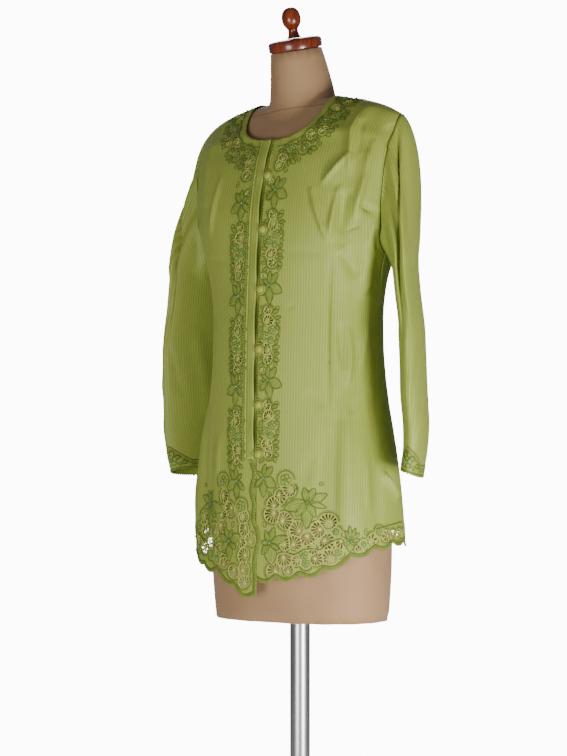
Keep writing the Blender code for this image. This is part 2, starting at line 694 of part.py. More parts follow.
def column_gaps():
    """Leaf gaps up one side of the opening."""
    gaps = []
    repeats = int((COLUMN_TOP - COLUMN_BOTTOM) / COLUMN_REPEAT)
    for repeat in range(repeats + 1):
        base = COLUMN_BOTTOM + repeat * COLUMN_REPEAT
        gaps += [leaf_gap(leaf.round, base + leaf.rise, leaf) for leaf in COLUMN_LEAVES
                 if base + leaf.rise < COLUMN_TOP]
    return gaps


# ---------------------------------------------------------------- meshes
def inside(points, outline):
    """Which points lie inside an outline."""
    x = points[:, 0]
    y = points[:, 1]
    result = np.zeros(len(points), dtype=bool)
    ends = np.roll(outline, -1, axis=0)
    for (ax, ay), (bx, by) in zip(outline, ends):
        if ay == by:
            continue
        crosses = ((ay > y) != (by > y)) & (x < (bx - ax) * (y - ay) / (by - ay) + ax)
        result ^= crosses
    return result


def distance_to_outline(points, outline):
    """Shortest distance from each point to an outline."""
    best = np.full(len(points), 1e9)
    ends = np.roll(outline, -1, axis=0)
    for start, end in zip(outline, ends):
        run = end - start
        part = np.clip(((points - start) @ run) / (run @ run), 0, 1)
        near = start + part[:, None] * run
        best = np.minimum(best, np.linalg.norm(points - near, axis=1))
    return best


def filling_points(outline, gaps):
    """Points that fill a panel, closer over the shoulders."""
    low = outline.min(axis=0)
    high = outline.max(axis=0)
    rows = []
    level = low[1] + GRID / 2
    odd = False
    while level < high[1]:
        spacing = GRID_FINE if level > FINE_ABOVE else GRID
        shift = spacing / 2 if odd else 0.0
        row = np.arange(low[0] + shift, high[0], spacing)
        rows.append(np.stack([row, np.full(len(row), level)], axis=1))
        level += spacing * ROW_STEP
        odd = not odd
    points = np.concatenate(rows)
    points = points[inside(points, outline)]
    points = points[distance_to_outline(points, outline) > EDGE_CLEAR]
    for gap in gaps:
        points = points[distance_to_outline(points, gap) > GAP_CLEAR]
    return points


def crease_points(side, outline, gaps):
    """Points along narrow folds and just beside them, so that the walls follow them."""
    points = []
    for fold in FOLDS:
        applies = fold.side == 2 if side == 2 else fold.side in (0, side)
        if not applies or fold.width > CREASE_WIDTH_MOST:
            continue
        start = np.array([fold.round_a, fold.height_a])
        run = np.array([fold.round_b, fold.height_b]) - start
        length = np.linalg.norm(run)
        across = np.array([run[1], -run[0]]) / length
        for part in np.linspace(0, 1, max(3, int(length / CREASE_STEP))):
            for shift in (-CREASE_BESIDE, 0, CREASE_BESIDE):
                points.append(start + run * part + across * shift * fold.width)
    if side == 1:
        points += [(LAP_COLUMN, high) for high in opening_rows()[1:-1]]
    points = np.array(points)
    points = points[inside(points, outline)]
    points = points[distance_to_outline(points, outline) > GAP_CLEAR]
    for gap in gaps:
        points = points[distance_to_outline(points, gap) > CREASE_GAP_CLEAR]
    return points


def cut_panel(side, outline, gaps):
    """Triangles of the flat panel."""
    outline = np.array(outline)
    gaps = [np.array(gap) for gap in gaps]
    for gap in gaps:
        if not inside(gap, outline).all() or distance_to_outline(gap, outline).min() < GAP_RIM_LEAST:
            raise ValueError(f"a gap leaves the panel near {gap[0]}")
    creases = crease_points(side, outline, gaps)
    fill = filling_points(outline, gaps)
    spread = np.linalg.norm(fill[:, None] - creases[None], axis=2).min(axis=1)
    fill = fill[spread > CREASE_CLEAR]
    loops = [outline] + gaps
    points = np.concatenate(loops + [creases, fill])
    edges = []
    start = 0
    for loop in loops:
        count = len(loop)
        edges += [(start + i, start + (i + 1) % count) for i in range(count)]
        start += count
    flat, _, triangles, _, _, _ = delaunay_2d_cdt([Vector(p) for p in points], edges, [], 0, 1e-7)
    flat = np.array([tuple(p) for p in flat])
    triangles = np.array(triangles)
    middles = flat[triangles].mean(axis=1)
    keep = inside(middles, outline)
    for gap in gaps:
        keep &= ~inside(middles, gap)
    return flat, triangles[keep]


def thick_mesh(name, inner, outer, triangles, colour, roughness):
    """Close a sheet of triangles into a wall with an inner and an outer face."""
    count = len(inner)
    used = np.unique(triangles)
    renumber = -np.ones(count, dtype=int)
    renumber[used] = np.arange(len(used))
    triangles = renumber[triangles]
    half = len(used)
    directed = {}
    for a, b, c in triangles:
        for edge in ((a, b), (b, c), (c, a)):
            directed[edge] = True
    faces = [(int(a + half), int(b + half), int(c + half)) for a, b, c in triangles]
    faces += [(int(c), int(b), int(a)) for a, b, c in triangles]
    for a, b in directed:
        if (b, a) not in directed:
            faces.append((int(a), int(b), int(b + half)))
            faces.append((int(a), int(b + half), int(a + half)))
    points = np.concatenate([inner[used], outer[used]])
    new_object(name, points, faces, colour, roughness)


def new_object(name, points, faces, colour, roughness, metallic=0.0):
    """One mesh object with its own material."""
    mesh = bpy.data.meshes.new(name)
    mesh.from_pydata([tuple(p) for p in points], [], [tuple(f) for f in faces])
    mesh.validate()
    mesh.update()
    mesh.shade_smooth()
    mesh.set_sharp_from_angle(angle=SHARP_ANGLE)
    item = bpy.data.objects.new(name, mesh)
    bpy.context.scene.collection.objects.link(item)
    material = bpy.data.materials.new(name)
    material.use_nodes = True
    shader = material.node_tree.nodes["Principled BSDF"]
    shader.inputs["Base Color"].default_value = (*colour, 1.0)
    shader.inputs["Roughness"].default_value = roughness
    shader.inputs["Metallic"].default_value = metallic
    mesh.materials.append(material)


GREEN = (0.40, 0.45, 0.16)
GREEN_DEEP = (0.27, 0.38, 0.10)
LINEN = (0.62, 0.50, 0.33)
WOOD = (0.28, 0.06, 0.02)
STEEL = (0.35, 0.35, 0.36)
CLOTH_ROUGHNESS = 0.6
LINEN_ROUGHNESS = 0.8
WOOD_ROUGHNESS = 0.25
STEEL_ROUGHNESS = 0.3
SHARP_ANGLE = math.radians(35)


def layer_lift(side, distance):
    """The right front rises over the left one near the opening."""
    if side != -1:
        return np.zeros_like(distance)
    part = np.clip((LAYER_NONE - distance) / (LAYER_NONE - LAYER_FULL), 0, 1)
    return LAYER * part * part * (3 - 2 * part)


def sew_panel(name, side, outline, gaps):
    """Cut a panel, lay it on the body and give it its thickness."""
    flat, triangles = cut_panel(side, outline, gaps)
    lift = layer_lift(side, flat[:, 0])
    inner = cloth_points(side, flat[:, 0], flat[:, 1], lift - CLOTH / 2)
    outer = cloth_points(side, flat[:, 0], flat[:, 1], lift + CLOTH / 2)
    if side != 1:
        triangles = triangles[:, ::-1]
    thick_mesh(name, inner, outer, triangles, GREEN, CLOTH_ROUGHNESS)


def make_fronts_and_back():
    """The three body panels."""
    left_gaps = [gap for wheel in WHEELS_LEFT for gap in wheel_gaps(wheel)] + column_gaps()
    right_gaps = [gap for wheel in WHEELS_RIGHT for gap in wheel_gaps(wheel)] + column_gaps()
    back_gaps = [gap for wheel in WHEELS_BACK for gap in wheel_gaps(wheel)]
    sew_panel("left_front", 1, front_outline(1), left_gaps)
    sew_panel("right_front", -1, front_outline(-1), right_gaps)
    sew_panel("back", 2, back_outline(), back_gaps)


def make_strip():
    """The plain strip on the right front's edge."""
    heights = strip_rows()
    rows = []
    for offset in (LAYER - CLOTH / 2, LAYER + CLOTH / 2):
        for place in (STRIP_LEFT, (STRIP_LEFT + STRIP_RIGHT) / 2, STRIP_RIGHT):
            rows.append(cloth_points(1, np.full(len(heights), place), heights, np.full(len(heights), offset)))
    ring = [rows[i] for i in (0, 3, 4, 5, 2, 1)]
    loft("placket_strip", [[line[level] for line in ring] for level in range(len(heights))], GREEN)


def loft(name, rings, colour, roughness=CLOTH_ROUGHNESS, metallic=0.0):
    """A closed solid through rings that run anticlockwise seen from the last one."""
    sides = len(rings[0])
    points = [tuple(point) for ring in rings for point in ring]
    faces = []
    for level in range(len(rings) - 1):
        for i in range(sides):
            j = (i + 1) % sides
            low = level * sides
            faces.append((low + i, low + j, low + sides + j, low + sides + i))
    first = len(points)
    points.append(tuple(np.mean(np.array(rings[0], dtype=float), axis=0)))
    points.append(tuple(np.mean(np.array(rings[-1], dtype=float), axis=0)))
    last_ring = (len(rings) - 1) * sides
    for i in range(sides):
        j = (i + 1) % sides
        faces.append((first, j, i))
        faces.append((first + 1, last_ring + i, last_ring + j))
    new_object(name, points, faces, colour, roughness, metallic)


def surface_frame(place, height):
    """A point on the left front near the opening, with its across, up and out directions."""
    point = cloth_points(1, np.array([place]), np.array([height]))[0]
    beside = cloth_points(1, np.array([place + NUDGE]), np.array([height]))[0]
    above = cloth_points(1, np.array([place]), np.array([height + NUDGE]))[0]
    out = np.cross(beside - point, above - point)
    out /= np.linalg.norm(out)
    up = above - point
    up /= np.linalg.norm(up)
    return point, np.cross(up, out), up, out


def make_buttons_and_loops():
    """Six covered buttons on the left front, each held by a loop from the strip."""
    place = STRIP_RIGHT + SEAM_GAP + BUTTON_RADIUS
    for number, height in enumerate(BUTTON_HEIGHTS, start=1):
        point, across, up, out = surface_frame(place, height)
        floor = CLOTH / 2 + TRIM_GAP
        rings = []
        for level in range(BUTTON_RINGS + 1):
            angle = level / BUTTON_RINGS * BUTTON_DOME
            radius = BUTTON_RADIUS * math.cos(angle)
            rise = floor + BUTTON_EDGE + BUTTON_RISE * math.sin(angle)
            rings.append([point + out * rise + across * radius * math.cos(turn) + up * radius * math.sin(turn)
                          for turn in np.linspace(0, 2 * math.pi, BUTTON_SIDES, endpoint=False)])
        base = [corner - out * BUTTON_EDGE for corner in rings[0]]
        loft(f"button_{number}", [base] + rings, GREEN_DEEP)

        bend = BUTTON_RADIUS + SEAM_GAP + LOOP_CORD
        start = math.acos(-(BUTTON_RADIUS - LOOP_CORD) / bend)
        bend /= math.cos(start / LOOP_STEPS)
        lift = CLOTH / 2 + TRIM_GAP + LOOP_CORD
        tube = []
        for step in range(LOOP_STEPS + 1):
            angle = start - 2 * start * step / LOOP_STEPS
            radial = across * math.cos(angle) + up * math.sin(angle)
            centre = point + radial * bend + out * lift
            tube.append([centre + (radial * math.cos(turn) + out * math.sin(turn)) * LOOP_CORD
                         for turn in np.linspace(0, 2 * math.pi, LOOP_SIDES, endpoint=False)])
        loft(f"loop_{number}", tube, GREEN_DEEP)


# ---------------------------------------------------------------- sleeves
def armhole_loop():
    """The left armhole in space: tip, down the front, underarm, up the back."""
    front = np.array(armhole_outline(1))
    back = np.array(armhole_outline(2))
    front_points = cloth_points(1, front[:, 0], front[:, 1])
    back_points = cloth_points(2, back[:, 0], back[:, 1])
    loop = np.concatenate([front_points, back_points[::-1][1:-1]])
    tip = (front_points[0] + back_points[0]) / 2
    under = (front_points[-1] + back_points[-1]) / 2
    loop[0] = tip
    loop[ARMHOLE_STEPS] = under
    return loop


def sleeve_ring(height, angles):
    """A level section of the hanging sleeve."""
    centre_x, centre_y, long_half, short_half = smooth_columns(SLEEVE_SECTIONS[::-1], height)[0]
    front = np.array([math.sin(SLEEVE_TURN), -math.cos(SLEEVE_TURN), 0.0])
    outward = np.array([math.cos(SLEEVE_TURN), math.sin(SLEEVE_TURN), 0.0])
    centre = np.array([centre_x, centre_y, height])
    across = outward * (short_half * np.cos(angles))[:, None]
    tilt = CUFF_TILT * max(0.0, (CUFF_TILT_TOP - height) / (CUFF_TILT_TOP - SLEEVE_RINGS[-1])) ** 2
    centre = centre - np.array([0.0, 0.0, 1.0]) * (tilt * np.cos(angles))[:, None]
    return centre + across + front * (long_half * np.sin(angles))[:, None]


def valley(angles, heights):
    """Depth of the lengthwise fold in the sleeve's front."""
    spread = (angles - VALLEY_ANGLE) / VALLEY_WIDTH
    top = np.clip((VALLEY_TOP - heights) / VALLEY_FADE, 0, 1)
    end = np.clip((heights - VALLEY_END) / VALLEY_FADE, 0, 1)
    return VALLEY_DEPTH * np.exp(-spread ** 2) * top * end


def sleeve_grid():
    """Middle surface of the left sleeve as rings of points, from the armhole to the cuff."""
    loop = armhole_loop()
    sides = len(loop)
    angles = np.linspace(0, 2 * math.pi, sides, endpoint=False)
    top_ring = sleeve_ring(SLEEVE_SECTIONS[0].height, angles)
    start_way = np.tile([CAP_OUT, 0.0, -CAP_DOWN], (sides, 1))
    start_way[:, 1] = np.sin(angles) * -CAP_SPREAD
    start_way /= np.linalg.norm(start_way, axis=1)[:, None]
    end_way = np.array([0.0, 0.0, -1.0])
    rings = []
    begin = loop + np.array([SLEEVE_STEP, 0.0, -SLEEVE_DROP])
    reach = np.linalg.norm(top_ring - begin, axis=1)[:, None]
    for t in CAP_RINGS:
        a = 2 * t ** 3 - 3 * t ** 2 + 1
        b = t ** 3 - 2 * t ** 2 + t
        c = -2 * t ** 3 + 3 * t ** 2
        d = t ** 3 - t ** 2
        rings.append(a * begin + b * start_way * reach * CAP_FULLNESS + c * top_ring + d * end_way * reach)
    for height in SLEEVE_RINGS:
        rings.append(sleeve_ring(height, angles))
    grid = np.array(rings)
    centres = grid.mean(axis=1)
    for level in range(1, len(grid)):
        inward = centres[level] - grid[level]
        inward[:, 2] = 0
        inward /= np.linalg.norm(inward, axis=1)[:, None]
        grid[level] += inward * valley(angles, grid[level][:, 2])[:, None]
    return grid


def grid_normals(grid):
    """Outward normals of a tube of rings that run down it."""
    around = np.roll(grid, -1, axis=1) - np.roll(grid, 1, axis=1)
    down = np.gradient(grid, axis=0)
    normal = np.cross(down, around)
    normal /= np.linalg.norm(normal, axis=2)[:, :, None]
    outward = grid - grid.mean(axis=1, keepdims=True)
    if (normal * outward).sum() < 0:
        normal = -normal
    return normal


def make_sleeves():
    """Two open tubes, the right one a mirror of the left."""
    grid = sleeve_grid()
    normal = grid_normals(grid)
    inner = (grid - normal * CLOTH / 2).reshape(-1, 3)
    outer = (grid + normal * CLOTH / 2).reshape(-1, 3)
    levels, sides = grid.shape[:2]
    triangles = []
    for level in range(levels - 1):
        for i in range(sides):
            j = (i + 1) % sides
            a = level * sides + i
            b = level * sides + j
            c = (level + 1) * sides + j
            d = (level + 1) * sides + i
            triangles += [(a, b, c), (a, c, d)]
    triangles = np.array(triangles)
    first = triangles[0]
    facing = np.cross(outer[first[1]] - outer[first[0]], outer[first[2]] - outer[first[0]])
    if facing @ normal.reshape(-1, 3)[first[0]] < 0:
        triangles = triangles[:, ::-1]
    thick_mesh("left_sleeve", inner, outer, triangles, GREEN, CLOTH_ROUGHNESS)
    mirror = np.array([-1.0, 1.0, 1.0])
    thick_mesh("right_sleeve", inner * mirror, outer * mirror, triangles[:, ::-1], GREEN, CLOTH_ROUGHNESS)


# ---------------------------------------------------------------- dress form
def form_ring(size, angles):
    """Plan of a level section of the dress form."""
    half_width, front, back = size
    out = half_width * np.sign(np.sin(angles)) * np.abs(np.sin(angles)) ** (2 / SECTION_POWER)
    deep = np.abs(np.cos(angles)) ** (2 / SECTION_POWER)
    y = np.where(np.cos(angles) > 0, -front * deep, back * deep)
    return np.stack([out, y], axis=1)


def form_top(plan, size):
    """Height of the form's shoulders over a point of the plan."""
    half_width, front, back = size
    out = np.minimum(np.abs(plan[:, 0]), half_width)
    columns = smooth_columns(SHOULDER, out)
    deep = (1 - (out / half_width) ** SECTION_POWER) ** (1 / SECTION_POWER)
    depth = np.where(plan[:, 1] < SHOULDER_BACK, front * deep + SHOULDER_BACK, back * deep - SHOULDER_BACK)
    depth = np.maximum(depth, FORM_DEPTH_LEAST)
    part = np.clip(np.abs(plan[:, 1] - SHOULDER_BACK) / depth, 0, 1)
    angles = np.linspace(math.pi / 2, 0, TABLE_STEPS)
    front_angle = np.interp(part, round_over_depth(angles, CHEST_SLOPE), angles)
    back_angle = np.interp(part, round_over_depth(angles, 0.0), angles)
    angle = np.where(plan[:, 1] < SHOULDER_BACK, front_angle, back_angle)
    return columns[:, 0] - columns[:, 1] * (1 - np.sin(angle)) - FORM_CLEAR


def make_dress_form():
    """Torso, shoulders and leaning neck, one whole smooth solid."""
    angles = np.linspace(0, 2 * math.pi, FORM_SIDES, endpoint=False)
    rings = []
    levels = np.linspace(FORM_SECTIONS[0].height, FORM_TOP_LEVEL, FORM_LEVELS)
    for level in levels:
        plan = form_ring(smooth_columns(FORM_SECTIONS, level)[0], angles)
        rings.append(np.column_stack([plan, np.full(FORM_SIDES, level)]))
    size = tuple(FORM_SECTIONS[-1])[1:]
    rim = form_ring(size, angles)
    rings.append(np.column_stack([rim, form_top(rim, size)]))
    neck = np.stack([np.sin(angles), -np.cos(angles)], axis=1) * NECK_BASE_RADIUS + [0, NECK_BASE_Y]
    for part in FORM_PLAN_STEPS:
        plan = rim * (1 - part) + neck * part
        rings.append(np.column_stack([plan, form_top(plan, size)]))
    _, sideways, forward = neck_axes()
    around = np.sin(angles)[:, None] * sideways + np.cos(angles)[:, None] * forward
    for centre, radius in ((NECK_LOW, NECK_LOW_RADIUS), (NECK_TOP, NECK_TOP_RADIUS)):
        rings.append(np.array(centre) + around * radius)
    loft("dress_form", rings, LINEN, LINEN_ROUGHNESS)


def neck_axes():
    """Direction of the leaning neck, and two across it."""
    axis = np.array(NECK_TOP) - np.array(NECK_LOW)
    axis /= np.linalg.norm(axis)
    sideways = np.array([1.0, 0.0, 0.0])
    forward = np.cross(sideways, axis)
    if forward[1] > 0:
        forward = -forward
    return axis, sideways, forward


def turned(name, foot, axis, sideways, forward, profile, sides, colour, roughness, metallic=0.0):
    """A turned solid on an axis from a profile of radius and rise."""
    turns = np.linspace(0, 2 * math.pi, sides, endpoint=False)
    around = np.sin(turns)[:, None] * sideways + np.cos(turns)[:, None] * forward
    rings = [foot + axis * rise + around * radius for radius, rise in profile]
    loft(name, rings, colour, roughness, metallic)


def make_cap_knob_and_stand():
    """Turned wooden cap and knob on the neck, a pole and a round base under the form."""
    axis, sideways, forward = neck_axes()
    cap_foot = np.array(NECK_TOP) + axis * SEAM_GAP
    knob_foot = cap_foot + axis * (CAP_PROFILE[-1][1] + SEAM_GAP)
    turned("neck_cap", cap_foot, axis, sideways, forward, CAP_PROFILE, TURNED_SIDES, WOOD, WOOD_ROUGHNESS)
    turned("knob", knob_foot, axis, sideways, forward, KNOB_PROFILE, TURNED_SIDES, WOOD, WOOD_ROUGHNESS)
    up = np.array([0.0, 0.0, 1.0])
    away = np.array([0.0, -1.0, 0.0])
    base_top = BASE_PROFILE[-1][1]
    pole_length = FORM_SECTIONS[0].height - SEAM_GAP - base_top - SEAM_GAP
    turned("base_plate", np.zeros(3), up, sideways, away, BASE_PROFILE, BASE_SIDES, WOOD, WOOD_ROUGHNESS)
    turned("pole", up * (base_top + SEAM_GAP), up, sideways, away,
           ((POLE_RADIUS, 0.0), (POLE_RADIUS, pole_length)), TURNED_SIDES, STEEL, STEEL_ROUGHNESS, 1.0)


def main():
    for item in list(bpy.data.objects):
        bpy.data.objects.remove(item)
    make_fronts_and_back()
    make_strip()
    make_buttons_and_loops()
    make_sleeves()
    make_dress_form()
    make_cap_knob_and_stand()


main()
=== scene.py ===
# %% [markdown]
# # A kebaya blouse on a dress form
# A kebaya is a fitted, open-fronted blouse. This one is light striped satin, with cutwork lace
# up both sides of the opening and along the hem, worn on a limbless form on a stand.
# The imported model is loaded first, because every finished piece is placed in its frame.

# %% Load the frame
import math
from collections import namedtuple

import bmesh
import bpy
import numpy as np
from mathutils import Matrix, Vector
from mathutils.geometry import delaunay_2d_cdt


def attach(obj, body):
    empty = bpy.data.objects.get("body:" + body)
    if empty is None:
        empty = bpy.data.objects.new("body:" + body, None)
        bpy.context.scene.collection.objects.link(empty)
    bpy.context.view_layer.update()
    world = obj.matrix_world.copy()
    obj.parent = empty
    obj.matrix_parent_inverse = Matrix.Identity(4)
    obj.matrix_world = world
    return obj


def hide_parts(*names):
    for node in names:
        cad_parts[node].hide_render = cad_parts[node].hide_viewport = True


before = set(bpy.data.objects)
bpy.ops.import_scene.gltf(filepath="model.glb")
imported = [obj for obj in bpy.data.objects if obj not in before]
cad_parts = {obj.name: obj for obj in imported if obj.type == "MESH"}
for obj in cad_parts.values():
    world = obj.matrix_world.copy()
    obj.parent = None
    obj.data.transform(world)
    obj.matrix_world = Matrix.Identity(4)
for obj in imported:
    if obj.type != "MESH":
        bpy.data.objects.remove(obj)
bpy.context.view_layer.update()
print("nodes in the frame:", len(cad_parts))

# %% [markdown]
# ## The camera
# The blouse is seen level, from 35 degrees to the wearer's left and three metres away.
# A long lens at that distance keeps the shoulders and the hem in true proportion.
# The shift slides the picture without turning the camera, so upright lines stay upright.

# %% Set the camera
IMAGE_WIDE = 567
IMAGE_TALL = 756
FOCAL_PIXELS = 1875
SENSOR = 36.0
VIEW_TURN = math.radians(35)
VIEW_DISTANCE = 3.0
VIEW_HEIGHT = 0.8
MIDDLE_X = 300
MIDDLE_Y = 450

lens = bpy.data.cameras.new("camera")
lens.sensor_fit = "VERTICAL"
lens.sensor_height = SENSOR
lens.lens = FOCAL_PIXELS / IMAGE_TALL * SENSOR
lens.shift_x = (IMAGE_WIDE / 2 - MIDDLE_X) / IMAGE_TALL
lens.shift_y = (MIDDLE_Y - IMAGE_TALL / 2) / IMAGE_TALL
camera = bpy.data.objects.new("camera", lens)
camera.location = (VIEW_DISTANCE * math.sin(VIEW_TURN), -VIEW_DISTANCE * math.cos(VIEW_TURN), VIEW_HEIGHT)
camera.rotation_euler = (math.pi / 2, 0.0, VIEW_TURN)
bpy.context.scene.collection.objects.link(camera)
bpy.context.scene.camera = camera
print("lens:", round(lens.lens, 1), "mm")

# %% [markdown]
# ## Shader arithmetic
# A node tree is easier to read as a sum. This class wraps one socket, so that adding or
# multiplying it adds the Math node. Every other node comes from one method that
# takes the node's type, its settings and the values or links of its sockets.

# %% The socket class
class Signal:
    """One output socket of a material, with Python's arithmetic."""

    def __init__(self, tree, socket):
        self.tree = tree
        self.socket = socket

    def node(self, kind, sockets, output=0, **settings):
        item = self.tree.nodes.new(kind)
        for name, value in settings.items():
            setattr(item, name, value)
        for name, value in sockets.items():
            plug(self.tree, item.inputs[name], value)
        return Signal(self.tree, item.outputs[output])

    def maths(self, operation, *values):
        return self.node("ShaderNodeMath", dict(enumerate(values)), operation=operation)

    def __add__(self, other):
        return self.maths("ADD", self, other)

    def __sub__(self, other):
        return self.maths("SUBTRACT", self, other)

    def __mul__(self, other):
        return self.maths("MULTIPLY", self, other)

    __radd__ = __add__

    def wave(self, pitch):
        return self.maths("SINE", self * (2 * math.pi / pitch))

    def between(self, low, high):
        """0 below low, 1 above high, smooth in between."""
        return self.node("ShaderNodeMapRange", {"Value": self, "From Min": low, "From Max": high},
                         interpolation_type="SMOOTHSTEP")

    def blend(self, first, second):
        """The first colour where this is 0, the second where it is 1."""
        return self.node("ShaderNodeMix", {0: self, 6: first, 7: second}, 2, data_type="RGBA")

    def stretched(self, *scale):
        return self.node("ShaderNodeMapping", {"Vector": self, "Scale": scale})

    def noise(self, **sockets):
        return self.node("ShaderNodeTexNoise", {"Vector": self, **sockets})

    def parts(self):
        """The three axes of a place."""
        split = self.node("ShaderNodeSeparateXYZ", {"Vector": self}).socket.node
        return [Signal(self.tree, output) for output in split.outputs]


def plug(tree, socket, value):
    """Link a signal to a socket, or set the socket's value."""
    if isinstance(value, Signal):
        tree.links.new(value.socket, socket)
    elif isinstance(value, tuple) and len(value) == 3 and len(socket.default_value) == 4:
        socket.default_value = (*value, 1.0)
    else:
        socket.default_value = value


def start_material(name):
    """A new material, its Principled shader, and the coordinates to build on."""
    material = bpy.data.materials.new(name)
    material.use_nodes = True
    tree = material.node_tree
    shader = tree.nodes["Principled BSDF"]
    coordinates = tree.nodes.new("ShaderNodeTexCoord")
    on_object = Signal(tree, coordinates.outputs["Object"])
    on_cloth = Signal(tree, coordinates.outputs["UV"])
    return material, shader, on_object, on_cloth


def dress(shader, **values):
    """Set or link sockets of the Principled shader, with _ for a space."""
    for name, value in values.items():
        plug(shader.id_data, shader.inputs[name.replace("_", " ")], value)


def bump(height, strength, distance):
    """A Normal made from a height signal."""
    return height.node("ShaderNodeBump", {"Height": height, "Strength": strength, "Distance": distance})


print("shader arithmetic ready")

# %% [markdown]
# ## Striped satin cloth
# The cloth is thin satin with fine stripes woven in its own colour, a little over four
# millimetres apart and of uneven strength. The stripes follow the cut of each panel, so they read
# the panel's own map, which holds metres round and metres up the cloth. A soft roughness
# and a little sheen give the glow of satin without a hard shine.

# %% Cloth material
CLOTH_LIGHT = (0.326, 0.384, 0.064)
CLOTH_DEEP = (0.258, 0.311, 0.044)
CLOTH_UNEVEN = (0.348, 0.404, 0.077)
STRIPE_PITCH = 0.0044
BAND_SCALE = 60.0
WEAVE_PITCH = 0.00055


def make_satin(name, light, deep, uneven):
    material, shader, _, on_cloth = start_material(name)
    round_body, up_body, _ = on_cloth.parts()
    strength = on_cloth.stretched(BAND_SCALE, 0.6, 1.0).noise(Scale=1.0, Detail=2.0)
    stripes = (round_body.wave(STRIPE_PITCH) * 0.5 + 0.5) * strength.between(0.12, 0.50)
    broad = on_cloth.stretched(30.0, 5.0, 1.0).noise(Scale=1.0, Detail=3.0).between(0.30, 0.72)
    weave = round_body.wave(WEAVE_PITCH) * up_body.wave(WEAVE_PITCH)
    dress(shader,
          Base_Color=stripes.blend(broad.blend(light, uneven), deep),
          Roughness=0.46 + stripes * 0.16,
          Normal=bump(stripes * 0.7 + weave * 0.3, 0.30, 0.00012),
          Sheen_Weight=0.08, Sheen_Roughness=0.4, Sheen_Tint=(0.85, 0.90, 0.45, 1.0),
          Specular_IOR_Level=0.30)
    return material


satin = make_satin("striped_satin", CLOTH_LIGHT, CLOTH_DEEP, CLOTH_UNEVEN)
plain_satin = make_satin("button_satin", (0.288, 0.325, 0.052), (0.245, 0.280, 0.038), (0.308, 0.345, 0.060))
print("satin stripes every", STRIPE_PITCH * 1000, "mm")

# %% [markdown]
# ## Embroidery thread
# Rayon thread is glossy and lies in closely packed stitches across each cord. The stitches show as
# fine ribs, so the bump is a wave along the cord's own map. Four shades are used: a leaf green for
# outlines, a mid green for borders, a lighter green for fillings and a cream yellow for the cutwork.

# %% Thread materials
STITCH_PITCH = 0.00050


def make_thread(name, colour, darker):
    material, shader, on_object, on_cloth = start_material(name)
    rib = on_cloth.parts()[0].wave(STITCH_PITCH) * 0.5 + 0.5
    patch = on_object.noise(Scale=90.0, Detail=3.0)
    dress(shader,
          Base_Color=patch.between(0.3, 0.7).blend(colour, darker),
          Roughness=0.50 + rib * 0.10,
          Normal=bump(rib, 0.5, 0.00015),
          Sheen_Weight=0.04, Specular_IOR_Level=0.25)
    return material


THREADS = {"leaf": make_thread("leaf_green_thread", (0.124, 0.162, 0.018), (0.086, 0.118, 0.012)),
           "band": make_thread("band_green_thread", (0.205, 0.262, 0.034), (0.154, 0.204, 0.024)),
           "light": make_thread("light_green_thread", (0.300, 0.372, 0.058), (0.250, 0.318, 0.044)),
           "cream": make_thread("cream_thread", (0.545, 0.590, 0.140), (0.460, 0.505, 0.108))}
print("thread shades:", len(THREADS))

# %% [markdown]
# ## Beads, form cover, wood and steel
# The beads are turquoise glass. The form is covered in a plain fine jersey, slightly
# mottled. The cap and knob are turned wood under a thick reddish varnish, and the grain runs
# along the turning axis. The pole is drawn steel, brushed along its length.

# %% Other materials
def make_bead_glass():
    material, shader, _, _ = start_material("turquoise_glass")
    dress(shader, Base_Color=(0.05, 0.40, 0.18, 1.0), Roughness=0.10, Coat_Weight=1.0, Specular_IOR_Level=0.8)
    return material


NECK_SEAM_HEIGHT = 1.340
NECK_SEAM_TILT = (0.050, 0.035)
NECK_SEAM_HALF = 0.0006


def make_jersey():
    material, shader, on_object, _ = start_material("form_jersey")
    mottle = on_object.noise(Scale=14.0, Detail=4.0)
    knit = on_object.noise(Scale=900.0, Detail=2.0)
    across, ahead, up = on_object.parts()
    from_seam = up - (across * NECK_SEAM_TILT[0] + ahead * NECK_SEAM_TILT[1] + NECK_SEAM_HEIGHT)
    away = (from_seam * from_seam).between(NECK_SEAM_HALF ** 2, 3 * NECK_SEAM_HALF ** 2)
    dress(shader,
          Base_Color=away.blend((0.235, 0.125, 0.052), mottle.between(0.35, 0.68).blend(
              (0.385, 0.225, 0.105), (0.345, 0.198, 0.090))),
          Roughness=0.62 + mottle * 0.12,
          Normal=bump(knit, 0.25, 0.0003),
          Sheen_Weight=0.2)
    return material


def make_varnished_wood():
    material, shader, on_object, _ = start_material("varnished_wood")
    grain = on_object.stretched(60.0, 60.0, 9.0).noise(Scale=1.6, Detail=6.0, Distortion=1.2)
    dress(shader,
          Base_Color=grain.between(0.35, 0.65).blend((0.230, 0.036, 0.008), (0.120, 0.016, 0.004)),
          Roughness=0.22 + grain * 0.10, Coat_Weight=0.35, Coat_Roughness=0.10,
          Normal=bump(grain, 0.08, 0.0005))
    return material


def make_steel():
    material, shader, on_object, _ = start_material("brushed_steel")
    scratch = on_object.stretched(1400.0, 1400.0, 12.0).noise(Scale=1.0, Detail=3.0)
    dress(shader,
          Base_Color=scratch.blend((0.42, 0.42, 0.43), (0.56, 0.56, 0.57)),
          Roughness=0.24 + scratch * 0.18, Metallic=1.0, Normal=bump(scratch, 0.15, 0.0001))
    return material


bead_glass = make_bead_glass()
jersey = make_jersey()
wood = make_varnished_wood()
steel = make_steel()
print("materials:", len(bpy.data.materials))

# %% [markdown]
# ## The cloth's surface
# A dressmaker thinks of cloth as flat: so far round the body, so far up from the floor.
# These tables hold the body's half width and depth at each height, and one function turns a flat
# place into a place in space. Above the armpits the cloth rounds over to the shoulder line.

